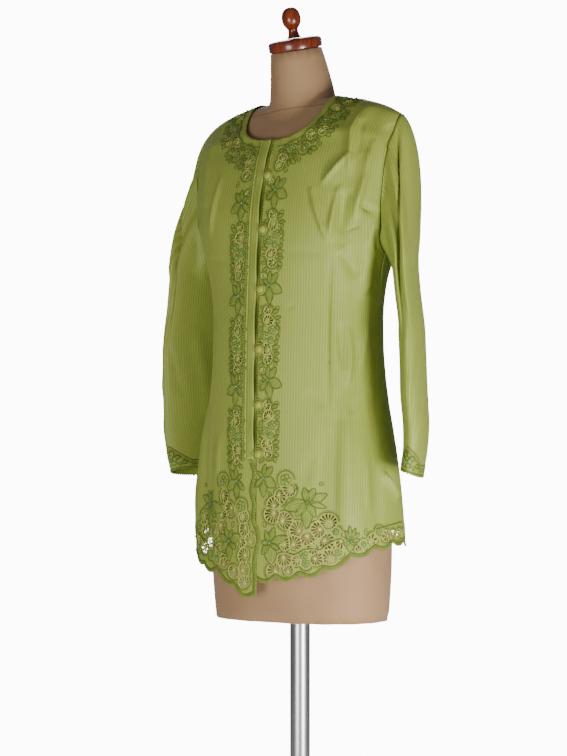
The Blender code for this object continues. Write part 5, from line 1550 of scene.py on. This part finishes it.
# Beside the opening a satin cord runs up each front, with picots along it.
neck_middle = float(neck_outline(1)[0, 1])
left_sheet.cord("leaf", upright(0.0042, 0.612, neck_middle - 0.004, 0.003), 0.0018)
right_sheet.cord("leaf", upright(0.0185, STRIP_BOTTOM, neck_middle - 0.004, 0.003), 0.0018)
PICOT_LINES = {"left": EDGES["left"] + [upright(0.0062, 0.785, neck_middle - 0.006)],
               "right": EDGES["right"] + [upright(0.0208, STRIP_BOTTOM, neck_middle - 0.006)],
               "back": EDGES["back"]}
for key, ground in GROUNDS.items():
    sheet = SHEETS[key]
    for shade in THREADS:
        lay_cords(key, sheet, shade, ground)
    raise_domes(f"{key}_petals", sheet.petals, ground, "light", PETAL_RISE)
    raise_domes(f"{key}_hubs", [circle(c, r, 8) for c, r in sheet.hubs], ground, "cream", HUB_RISE)
    picots = np.concatenate([even_run(line, PICOT_STEP)[0] for line in PICOT_LINES[key]])
    scatter(f"{key}_picots", ground, picots, 0.0022, 0.75, 0.0, THREADS["band"])
    scatter(f"{key}_beads", ground, sheet.beads, 0.0016, BEAD_FLATNESS, OUTER + BEAD_LIFT, bead_glass)
    print(key, "beads:", len(sheet.beads), "picots:", len(picots))

# %% [markdown]
# ## The plain strip, buttons and loops
# A plain folded strip finishes the right front's edge. Its face is slightly rounded, because
# folded cloth lies in it. Each button is a metal shell covered with satin, and a
# thin rouleau loop reaches from the strip round the button's far side.

# %% Strip
STRIP_ACROSS = 9
STRIP_EDGE_LIFT = 0.0030


def make_strip():
    levels = np.linspace(STRIP_BOTTOM, neck_middle, 130)
    places = np.linspace(STRIP_LEFT, STRIP_RIGHT, STRIP_ACROSS)
    crown = 0.0007 * (1 - (np.linspace(-1, 1, STRIP_ACROSS)) ** 4)
    flat = np.array([(place, level) for level in levels for place in places])
    edge_lift = STRIP_EDGE_LIFT * gaping(levels)
    raise_by = (crown + edge_lift[:, None] * np.linspace(0, 1, STRIP_ACROSS) ** 2).ravel()
    point, normal = Ground(1, gapes=False).frame(flat)
    points = point + normal * (LAYER + raise_by - 0.0002)[:, None]
    faces = []
    for row in range(len(levels) - 1):
        for i in range(STRIP_ACROSS - 1):
            a = row * STRIP_ACROSS + i
            faces.append((a, a + 1, a + STRIP_ACROSS + 1, a + STRIP_ACROSS))
    item = cloth_piece("placket_strip_cloth", points, faces, satin, flat, ("placket_strip",))
    give_thickness(item)


make_strip()
print("strip length:", round(neck_middle - STRIP_BOTTOM, 3), "m")

# %% Buttons and loops
BUTTON_RADIUS = 0.0070
BUTTON_RISE = 0.0056
LOOP_CORD = 0.0010


def frame_at(place, height):
    point, normal = left_ground.frame(np.array([(place, height)]))
    above, _ = left_ground.frame(np.array([(place, height + NUDGE)]))
    up = (above - point)[0] / np.linalg.norm(above - point)
    turn = Matrix((np.cross(up, normal[0]), up, normal[0])).transposed().to_4x4()
    return Matrix.Translation(point[0]) @ turn


def make_button(number, height):
    where = frame_at(STRIP_RIGHT + SEAM_GAP + BUTTON_RADIUS, height)
    work = bmesh.new()
    bmesh.ops.create_uvsphere(work, u_segments=32, v_segments=18, radius=BUTTON_RADIUS)
    bmesh.ops.bisect_plane(work, geom=work.verts[:] + work.edges[:] + work.faces[:], plane_co=(0, 0, -0.0008),
                           plane_no=(0, 0, -1), clear_outer=True)
    rim = [edge for edge in work.edges if edge.is_boundary]
    bmesh.ops.holes_fill(work, edges=rim)
    bmesh.ops.scale(work, verts=work.verts, vec=(1, 1, BUTTON_RISE / BUTTON_RADIUS))
    bmesh.ops.translate(work, verts=work.verts, vec=(0, 0, CLOTH / 2 + 0.0016))
    bmesh.ops.transform(work, verts=work.verts, matrix=where)
    bmesh_piece(f"covered_button_{number}", work, plain_satin, (f"button_{number}",), True)


def make_loop(number, height):
    where = frame_at(STRIP_RIGHT + SEAM_GAP + BUTTON_RADIUS, height)
    bend = BUTTON_RADIUS + SEAM_GAP + LOOP_CORD
    start = math.acos(-(BUTTON_RADIUS - LOOP_CORD) / bend)
    work = bmesh.new()
    bmesh.ops.create_circle(work, cap_ends=False, segments=10, radius=LOOP_CORD)
    bmesh.ops.rotate(work, verts=work.verts, matrix=Matrix.Rotation(math.pi / 2, 3, "X"))
    bmesh.ops.translate(work, verts=work.verts, vec=(bend, 0, 0))
    bmesh.ops.rotate(work, verts=work.verts, matrix=Matrix.Rotation(start, 3, "Z"))
    bmesh.ops.spin(work, geom=work.verts[:] + work.edges[:], cent=(0, 0, 0), axis=(0, 0, 1),
                   angle=-2 * start, steps=36, use_duplicate=False)
    ends = [edge for edge in work.edges if edge.is_boundary]
    bmesh.ops.holes_fill(work, edges=ends)
    bmesh.ops.translate(work, verts=work.verts, vec=(0, 0, CLOTH / 2 + 0.0006 + LOOP_CORD))
    bmesh.ops.transform(work, verts=work.verts, matrix=where)
    bmesh_piece(f"rouleau_loop_{number}", work, plain_satin, (f"loop_{number}",), True)


for number, height in enumerate(BUTTON_HEIGHTS, start=1):
    make_button(number, height)
    make_loop(number, height)
print("buttons:", len(BUTTON_HEIGHTS))

# %% [markdown]
# ## The sleeves
# A set-in sleeve starts at the armhole and turns down into a tube. The empty sleeve has fallen
# flat, front edge outward, with one long fold down its front. The cap is worked as a
# smooth turn from the armhole's own curve into the level sections below it.

# %% Sleeve surface
SleeveSection = namedtuple("SleeveSection", "height centre_x centre_y long short")
SLEEVE_SECTIONS = table_of(SleeveSection,
    (0.765, 0.209, 0.002, 0.05, 0.0162), (0.8, 0.214, 0.003, 0.054, 0.0175),
    (0.84, 0.215, 0.004, 0.06, 0.019), (0.887, 0.2105, 0.005, 0.065, 0.0195),
    (0.94, 0.2085, 0.006, 0.068, 0.0188), (0.995, 0.2055, 0.006, 0.0705, 0.0186),
    (1.04, 0.199, 0.006, 0.0715, 0.0188), (1.08, 0.1945, 0.006, 0.0715, 0.0195))
SLEEVE_TURN = math.radians(24)
CUFF = 0.765
TUBE_TOP = 1.080
CAP_FULLNESS = 0.62
SLEEVE_STEP = 0.0014
SLEEVE_DROP = 0.00035
VALLEY_DEPTH = 0.010
VALLEY_ANGLE = math.radians(92)
VALLEY_WIDTH = math.radians(17)
VALLEY_TOP = 1.30
VALLEY_END = 0.965
VALLEY_FADE = 0.06
ROUND_SCALE = 0.048
SleeveFold = namedtuple("SleeveFold", "angle_a height_a angle_b height_b width depth")
SLEEVE_FOLDS = table_of(SleeveFold,
    (30, 1.27, 48, 1.13, 0.01, -0.003), (62, 1.235, 70, 1.1, 0.008, 0.0022),
    (120, 1.2, 150, 1.115, 0.007, -0.0026), (135, 1.18, 170, 1.085, 0.007, 0.0024),
    (20, 1.02, 75, 0.905, 0.01, 0.0022), (40, 0.96, 85, 0.85, 0.008, -0.002),
    (10, 0.915, 60, 0.815, 0.008, 0.0018), (105, 0.99, 140, 0.9, 0.008, -0.0018),
    (-30, 1.1, -60, 0.96, 0.012, -0.003), (-60, 1.000, -40, 0.88, 0.01, 0.0024),
    (-120, 1.08, -100, 0.93, 0.012, 0.0026), (-90, 0.9, -70, 0.8, 0.009, -0.0022),
    (170, 0.98, 190, 0.87, 0.009, 0.002))


CREASE_LINE = (
    (1.325, 4), (1.289, 22), (1.258, 34), (1.227, 45), (1.194, 56), (1.163, 68), (1.133, 83), (1.097, 93),
    (1.04, 99), (0.96, 104))
CREASE_DEPTH = 0.0075
CREASE_EDGE = 0.0016
CREASE_RUN = 0.020
CREASE_TOP = 1.322
CREASE_END = 0.965
CREASE_FADE = (0.030, 0.120)
CREASE_GROOVE = 0.0110
CREASE_GROOVE_WIDTH = 0.0030
CREASE_SCALE = ((1.080, 1.200, 1.300), (0.024, 0.055, 0.070))


def wrapped(angles):
    return (angles + math.pi) % (2 * math.pi) - math.pi


def crease(angles, heights):
    """The fold's overhanging edge: a sharp step down, then an easy way back up."""
    line = np.array(sorted(CREASE_LINE))
    middle = np.radians(np.interp(heights, line[:, 0], line[:, 1]))
    aside = wrapped(angles - middle) * np.interp(heights, *CREASE_SCALE)
    step = 1 / (1 + np.exp(-aside / CREASE_EDGE))
    back = np.exp(-np.maximum(aside, 0) / CREASE_RUN)
    top = np.clip((CREASE_TOP - heights) / CREASE_FADE[0], 0, 1)
    end = np.clip((heights - CREASE_END) / CREASE_FADE[1], 0, 1)
    groove = CREASE_GROOVE * np.exp(-((aside - CREASE_GROOVE_WIDTH) / CREASE_GROOVE_WIDTH) ** 2)
    return (CREASE_DEPTH * step * back + groove) * top * end


def sleeve_ring(heights, angles):
    columns = smooth_columns(SLEEVE_SECTIONS, heights)
    front = np.array([math.sin(SLEEVE_TURN), -math.cos(SLEEVE_TURN), 0.0])
    outward = np.array([math.cos(SLEEVE_TURN), math.sin(SLEEVE_TURN), 0.0])
    centre = stacked(columns[:, 0], columns[:, 1], heights)
    return (centre + outward * (columns[:, 3] * np.cos(angles))[:, None]
            + front * (columns[:, 2] * np.sin(angles))[:, None])


def valley(angles, heights):
    spread = (wrapped(angles) - VALLEY_ANGLE) / VALLEY_WIDTH
    top = np.clip((VALLEY_TOP - heights) / VALLEY_FADE, 0, 1)
    end = np.clip((heights - VALLEY_END) / VALLEY_FADE, 0, 1)
    return VALLEY_DEPTH * np.exp(-spread ** 2) * top * end


def sleeve_lift(angles, heights):
    lift = np.zeros_like(angles)
    for fold in SLEEVE_FOLDS:
        run = math.radians(fold.angle_b - fold.angle_a) * ROUND_SCALE
        middle = math.radians((fold.angle_a + fold.angle_b) / 2)
        from_a = (wrapped(angles - middle) + middle) * ROUND_SCALE - math.radians(fold.angle_a) * ROUND_SCALE
        _, across, beyond = along_fold(run, fold.height_b - fold.height_a, from_a, heights - fold.height_a)
        lift += fold.depth * np.exp(-(across ** 2 + (beyond * 0.8) ** 2) / fold.width ** 2)
    return lift - crease(angles, heights)


CUFF_TILT = 0.006
CUFF_TILT_TOP = 0.860


def tilted(heights, angles):
    """How much the slanted cuff lowers a ring's points."""
    near = np.maximum(0.0, (CUFF_TILT_TOP - heights) / (CUFF_TILT_TOP - CUFF)) ** 2
    return CUFF_TILT * near * np.cos(angles)


CUFF_ANGLES = np.linspace(0, 2 * math.pi, 721)
CUFF_RUN = travelled_along(sleeve_ring(np.full(len(CUFF_ANGLES), CUFF), CUFF_ANGLES))
CUFF_ROUND = float(CUFF_RUN[-1])


class SleeveGround(Ground):
    """The hanging tube: flat places are (distance round the cuff, height)."""

    def facing(self):
        return 1 if self.mirror < 0 else -1

    def tube(self, flat):
        angles = np.interp(flat[:, 0] % CUFF_ROUND, CUFF_RUN, CUFF_ANGLES)
        heights = flat[:, 1]
        ring = sleeve_ring(heights, angles)
        centre = smooth_columns(SLEEVE_SECTIONS, heights)[:, :2]
        inward = np.column_stack([centre, heights]) - ring
        inward[:, 2] = 0
        inward = unit(inward)
        ring += inward * (valley(angles, heights) - sleeve_lift(angles, heights))[:, None]
        ring[:, 2] -= tilted(heights, angles)
        return ring

    def frame(self, flat):
        flat = np.asarray(flat, dtype=float)
        across = self.tube(flat + (NUDGE / 2, 0)) - self.tube(flat - (NUDGE / 2, 0))
        up = self.tube(flat + (0, NUDGE)) - self.tube(flat - (0, NUDGE))
        point = self.tube(flat)
        normal = unit(np.cross(up, across))
        columns = smooth_columns(SLEEVE_SECTIONS, flat[:, 1])
        away = point - np.column_stack([columns[:, :2], flat[:, 1]])
        normal = np.where((normal * away).sum(axis=1)[:, None] < 0, -normal, normal)
        mirror = np.array([self.mirror, 1, 1])
        return point * mirror, normal * mirror


SLEEVE_HALF = 96
CAP_STEPS = 26
TUBE_STEPS = 64


def stripe_places(grid):
    """Flat places all round from the underarm, measured level from the outer line, so that stripes hang."""
    sides = 2 * SLEEVE_HALF
    places = np.zeros((len(grid), sides + 1, 2))
    for hand in (1, -1):
        columns = [grid[:, (hand * k) % sides] for k in range(SLEEVE_HALF + 1)]
        for number, column in enumerate(columns):
            heights = column[:, 2]
            run = np.zeros(len(grid))
            for inner, outer in zip(columns[:number], columns[1:number + 1]):
                run += np.hypot(*(np.interp(-heights, -inner[:, 2], inner[:, i])
                                  - np.interp(-heights, -outer[:, 2], outer[:, i]) for i in (0, 1)))
            places[:, SLEEVE_HALF + hand * number] = stacked(hand * run, heights)
    return places


def sleeve_grid():
    """The left sleeve's middle surface as rings, from the armhole to the cuff."""
    front = armhole_outline(1, SLEEVE_HALF)
    back = armhole_outline(2, SLEEVE_HALF)
    front_points = left_ground.frame(front)[0]
    back_points = back_ground.frame(back)[0]
    loop = np.concatenate([front_points, back_points[::-1][1:-1]])
    loop[0] = (front_points[0] + back_points[0]) / 2
    loop[SLEEVE_HALF] = (front_points[-1] + back_points[-1]) / 2
    sides = len(loop)
    angles = np.linspace(0, 2 * math.pi, sides, endpoint=False)
    top = sleeve_ring(np.full(sides, TUBE_TOP), angles)
    way = np.tile([0.8, 0.0, -0.8], (sides, 1))
    way[:, 1] = np.sin(angles) * -0.5
    way = unit(way)
    begin = loop + np.array([SLEEVE_STEP, 0.0, -SLEEVE_DROP])
    reach = np.linalg.norm(top - begin, axis=1)[:, None]
    rings = []
    for t in np.linspace(0, 1, CAP_STEPS):
        rings.append((2 * t ** 3 - 3 * t ** 2 + 1) * begin
                     + (t ** 3 - 2 * t ** 2 + t) * way * reach * CAP_FULLNESS
                     + (3 * t ** 2 - 2 * t ** 3) * top + (t ** 3 - t ** 2) * np.array([0, 0, -1.0]) * reach)
    for height in np.linspace(TUBE_TOP, CUFF, TUBE_STEPS)[1:]:
        rings.append(sleeve_ring(np.full(sides, height), angles))
    grid = np.array(rings)
    places = stripe_places(grid)
    centres = grid.mean(axis=1)
    for level in range(1, len(grid)):
        inward = centres[level] - grid[level]
        inward[:, 2] = 0
        ease = min(level / 6, 1.0)
        heights = grid[level][:, 2]
        grid[level] += unit(inward) * (valley(angles, heights) - ease * sleeve_lift(angles, heights))[:, None]
        grid[level, :, 2] -= tilted(heights, angles)
    return np.concatenate([grid[:, SLEEVE_HALF:], grid[:, :SLEEVE_HALF + 1]], axis=1), places


def make_sleeve(node, mirror):
    closed, flat = sleeve_grid()
    levels, sides = closed.shape[0], closed.shape[1] - 1
    closed = closed * np.array([mirror, 1, 1])
    faces = []
    for level in range(levels - 1):
        for i in range(sides):
            a = level * (sides + 1) + i
            quad = (a, a + 1, a + sides + 2, a + sides + 1)
            faces.append(quad if mirror < 0 else quad[::-1])
    item = cloth_piece(f"{node}_cloth", closed.reshape(-1, 3), faces, satin, flat.reshape(-1, 2), (node,))
    work = bmesh.new()
    work.from_mesh(item.data)
    bmesh.ops.remove_doubles(work, verts=work.verts, dist=0.00002)
    work.to_mesh(item.data)
    work.free()
    give_thickness(item)
    print(node, "faces:", len(faces))


make_sleeve("left_sleeve", 1)
make_sleeve("right_sleeve", -1)

# %% [markdown]
# ## The cuffs
# Each cuff carries a narrow lace border that rises to a point at the front, with one blossom and
# a bead in the peak. It is laid out on the sleeve's own flat map, so it wraps round
# the tube like the rest of the cloth.

# %% Cuff embroidery
PEAK = float(np.interp(math.radians(106), CUFF_ANGLES, CUFF_RUN))
CUFF_AREA = np.array([(-1.0, CUFF), (1.0, CUFF), (1.0, 0.9), (-1.0, 0.9)])
PeakLeaf = namedtuple("PeakLeaf", "aside above angle length width")
PEAK_LEAVES = table_of(PeakLeaf,
    (0.001, 0.0205, 80, 0.0135, 0.0075), (-0.003, 0.019, 150, 0.012, 0.007),
    (0.004, 0.0185, 20, 0.0125, 0.007), (-0.016, 0.012, 170, 0.011, 0.0065),
    (0.015, 0.011, 5, 0.0115, 0.0065))


def work_cuff(sheet):
    around = np.linspace(0, CUFF_ROUND, 260)
    for amount in BAND_ROWS:
        sheet.cords["band"].append((stacked(around, CUFF + amount), 0.0020, 0.0008))
    away = np.abs((around - PEAK + CUFF_ROUND / 2) % CUFF_ROUND - CUFF_ROUND / 2)
    peak = 0.0150 + 0.0255 * np.clip(1 - away / 0.034, 0, 1) ** 1.15
    sheet.cords["leaf"].append((stacked(around, CUFF + peak), 0.0017, RISE))
    sheet.cords["light"].append((stacked(around, CUFF + peak - 0.0022), 0.0011, RISE))
    for echo in (0.0048, 0.0078):
        sheet.cords["leaf"].append((stacked(around, CUFF + np.maximum(peak - echo, 0.0072)), 0.0013, RISE))
    blossom(sheet, (PEAK, CUFF + 0.0160), 0.0095, 20)
    for leaf in PEAK_LEAVES:
        petal(sheet, (PEAK + leaf.aside, CUFF + leaf.above), leaf.angle, leaf.length, leaf.width)
    for hand in (-1, 1):
        curl(sheet, (PEAK + hand * 0.0125, CUFF + 0.0085), 0.0045, 90 - hand * 30, hand)
        curl(sheet, (PEAK + hand * 0.0200, CUFF + 0.0190), 0.0038, 90 + hand * 60, -hand, "light")
    for number, place in enumerate(np.linspace(PEAK + 0.034, PEAK + CUFF_ROUND - 0.034, 9)):
        middle = (place % CUFF_ROUND, CUFF + 0.0092)
        blossom(sheet, middle, 0.0044, 40 * number)
        curl(sheet, ((place + 0.0095) % CUFF_ROUND, CUFF + 0.0090), 0.0034, 70 * number, 1, "light")


for name, mirror in (("left", 1), ("right", -1)):
    cuff_ground = SleeveGround(3, mirror)
    cuff_sheet = WorkSheet(CUFF_AREA)
    work_cuff(cuff_sheet)
    for shade in ("leaf", "light", "band"):
        lay_cords(f"{name}_cuff", cuff_sheet, shade, cuff_ground)
    raise_domes(f"{name}_cuff_petals", cuff_sheet.petals, cuff_ground, "light", PETAL_RISE)
    dots = stacked(np.arange(0, CUFF_ROUND, PICOT_STEP), CUFF)
    scatter(f"{name}_cuff_picots", cuff_ground, dots, 0.0019, 0.55, 0.0, THREADS["band"])
    scatter(f"{name}_cuff_beads", cuff_ground, [(PEAK, CUFF + 0.0160)], 0.0019, BEAD_FLATNESS,
            OUTER + BEAD_LIFT, bead_glass)
    print(name, "cuff picots:", len(dots))

# %% [markdown]
# ## The dress form
# The form's cover is a smooth jersey over a shaped shell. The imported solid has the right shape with
# flat faces, so its mesh is copied, merged and subdivided, with its rims kept crisp.
# The seam where the neck's cover is joined on is a line in the jersey's colour.

# %% Form cover
RIM_CREASE = 0.75
NECK_LOW = (0.0, 0.007, 1.374)
NECK_TOP = (0.0, -0.011, 1.438)


def smooth_copy(name, node, material, levels):
    """A merged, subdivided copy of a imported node, with its sharp rims kept."""
    work = bmesh.new()
    work.from_mesh(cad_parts[node].data)
    bmesh.ops.transform(work, verts=work.verts, matrix=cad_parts[node].matrix_world)
    bmesh.ops.remove_doubles(work, verts=work.verts, dist=0.00001)
    bmesh.ops.join_triangles(work, faces=work.faces, angle_face_threshold=0.5, angle_shape_threshold=3.1)
    crease = work.edges.layers.float.get("crease_edge") or work.edges.layers.float.new("crease_edge")
    for edge in work.edges:
        if len(edge.link_faces) == 2 and edge.calc_face_angle(0) > math.radians(50):
            edge[crease] = RIM_CREASE
    item = bmesh_piece(name, work, material, (node,))
    finer = item.modifiers.new("finer", "SUBSURF")
    finer.levels = levels
    finer.render_levels = levels
    return item


form = smooth_copy("form_cover", "dress_form", jersey, 2)
print("form cover faces before smoothing:", len(form.data.polygons))

# %% [markdown]
# ## Turned wood and the stand
# The cap, the knob and the base are turned on a lathe, so each is one profile spun round an
# axis. The cap and knob lean with the neck. The pole is a plain rod with eased ends.

# %% Turned pieces
CAP_PROFILE = (
    (0.0, 0.0), (0.0405, 0.0), (0.0422, 0.001), (0.043, 0.0035), (0.043, 0.0115), (0.0424, 0.014),
    (0.0405, 0.016), (0.035, 0.0172), (0.028, 0.018), (0.015, 0.0182), (0.0, 0.0182))
KNOB_PROFILE = (
    (0.0, 0.0), (0.0112, 0.0), (0.011, 0.0012), (0.0094, 0.004), (0.0083, 0.0075), (0.0078, 0.0115),
    (0.0084, 0.0145), (0.0105, 0.0172), (0.0128, 0.02), (0.0146, 0.024), (0.0154, 0.0285),
    (0.0154, 0.0325), (0.0146, 0.0375), (0.0128, 0.042), (0.0098, 0.0455), (0.0055, 0.0478),
    (0.0, 0.0484))
BASE_PROFILE = (
    (0.0, 0.0), (0.1885, 0.0), (0.19, 0.0015), (0.19, 0.015), (0.189, 0.0185), (0.184, 0.022),
    (0.16, 0.0236), (0.11, 0.0268), (0.06, 0.03), (0.042, 0.033), (0.03, 0.0375), (0.024, 0.042),
    (0.0, 0.042))
POLE_PROFILE = (
    (0.0, 0.0), (0.0154, 0.0), (0.016, 0.0006), (0.016, 0.4868), (0.0154, 0.4874), (0.0, 0.4874))
SPIN_STEPS = 96


def turned(name, profile, where, material, node):
    work = bmesh.new()
    corners = [work.verts.new((radius, 0, rise)) for radius, rise in profile]
    for first, second in zip(corners, corners[1:]):
        work.edges.new((first, second))
    bmesh.ops.spin(work, geom=work.verts[:] + work.edges[:], cent=(0, 0, 0), axis=(0, 0, 1), dvec=(0, 0, 0),
                   angle=2 * math.pi, steps=SPIN_STEPS, use_merge=True, use_duplicate=False)
    bmesh.ops.remove_doubles(work, verts=work.verts, dist=0.00001)
    bmesh.ops.transform(work, verts=work.verts, matrix=where)
    item = bmesh_piece(name, work, material, (node,))
    item.data.set_sharp_from_angle(angle=math.radians(40))
    print(name, "faces:", len(item.data.polygons))
    return item


lean = Vector(NECK_TOP) - Vector(NECK_LOW)
tilt = lean.to_track_quat("Z", "Y").to_matrix().to_4x4()
cap_foot = Vector(NECK_TOP) + lean.normalized() * SEAM_GAP
knob_foot = cap_foot + lean.normalized() * (0.0180 + SEAM_GAP * 2)
turned("wooden_cap", CAP_PROFILE, Matrix.Translation(cap_foot) @ tilt, wood, "neck_cap")
turned("wooden_knob", KNOB_PROFILE, Matrix.Translation(knob_foot) @ tilt, wood, "knob")
turned("wooden_base", BASE_PROFILE, Matrix.Identity(4), wood, "base_plate")
turned("steel_pole", POLE_PROFILE, Matrix.Translation((0, 0, 0.0423)), steel, "pole")

# %% [markdown]
# ## Floor and light
# The floor is a pale plain disc, and the world behind it is white to the camera and dim to
# everything else. Two soft lights stand low on the camera's side, the key one well round to the
# wearer's left, and a third lights the form from behind.

# %% Stage and lights
FLOOR_RADIUS = 1.75


def make_stage():
    work = bmesh.new()
    bmesh.ops.create_circle(work, cap_ends=True, segments=128, radius=FLOOR_RADIUS)
    mesh = bpy.data.meshes.new("floor")
    work.to_mesh(mesh)
    work.free()
    material, shader, on_object, _ = start_material("pale_floor")
    speck = on_object.noise(Scale=3.0)
    dress(shader, Base_Color=speck.blend((0.80, 0.80, 0.79), (0.84, 0.84, 0.83)), Roughness=0.85)
    mesh.materials.append(material)
    floor = bpy.data.objects.new("floor", mesh)
    bpy.context.scene.collection.objects.link(floor)


def soft_light(name, turn, rise, distance, size, power, aim=(0, 0, 1.0)):
    data = bpy.data.lights.new(name, "AREA")
    data.size = size
    data.energy = power
    light = bpy.data.objects.new(name, data)
    azimuth = math.radians(turn)
    height = math.radians(rise)
    place = Vector((math.sin(azimuth) * math.cos(height), -math.cos(azimuth) * math.cos(height),
                    math.sin(height)))
    light.location = Vector(aim) + place * distance
    light.rotation_euler = (Vector(aim) - light.location).to_track_quat("-Z", "Y").to_euler()
    bpy.context.scene.collection.objects.link(light)


make_stage()
soft_light("key", 72, -10, 1.95, 0.5, 43, (0, 0, 0.70))
soft_light("fill", 6, -7, 2.2, 0.8, 28, (0, 0, 0.72))
soft_light("behind", 212, 25, 3.5, 2.0, 60)
world = bpy.data.worlds.new("studio")
world.use_nodes = True
tree = world.node_tree
soft = tree.nodes["Background"]
soft.inputs["Color"].default_value = (1.0, 1.0, 1.0, 1.0)
soft.inputs["Strength"].default_value = 0.17
wall = tree.nodes.new("ShaderNodeBackground")
wall.inputs["Color"].default_value = (1.0, 1.0, 1.0, 1.0)
wall.inputs["Strength"].default_value = 12.0
seen = tree.nodes.new("ShaderNodeLightPath")
either = tree.nodes.new("ShaderNodeMixShader")
tree.links.new(seen.outputs["Is Camera Ray"], either.inputs[0])
tree.links.new(soft.outputs[0], either.inputs[1])
tree.links.new(wall.outputs[0], either.inputs[2])
tree.links.new(either.outputs[0], tree.nodes["World Output"].inputs["Surface"])
bpy.context.scene.world = world
print("lights:", len(bpy.data.lights))

# %% [markdown]
# The finished blouse has to stay inside the imported model's box, apart from what soft cloth may
# stand proud.

# %% The end
print("scene built")
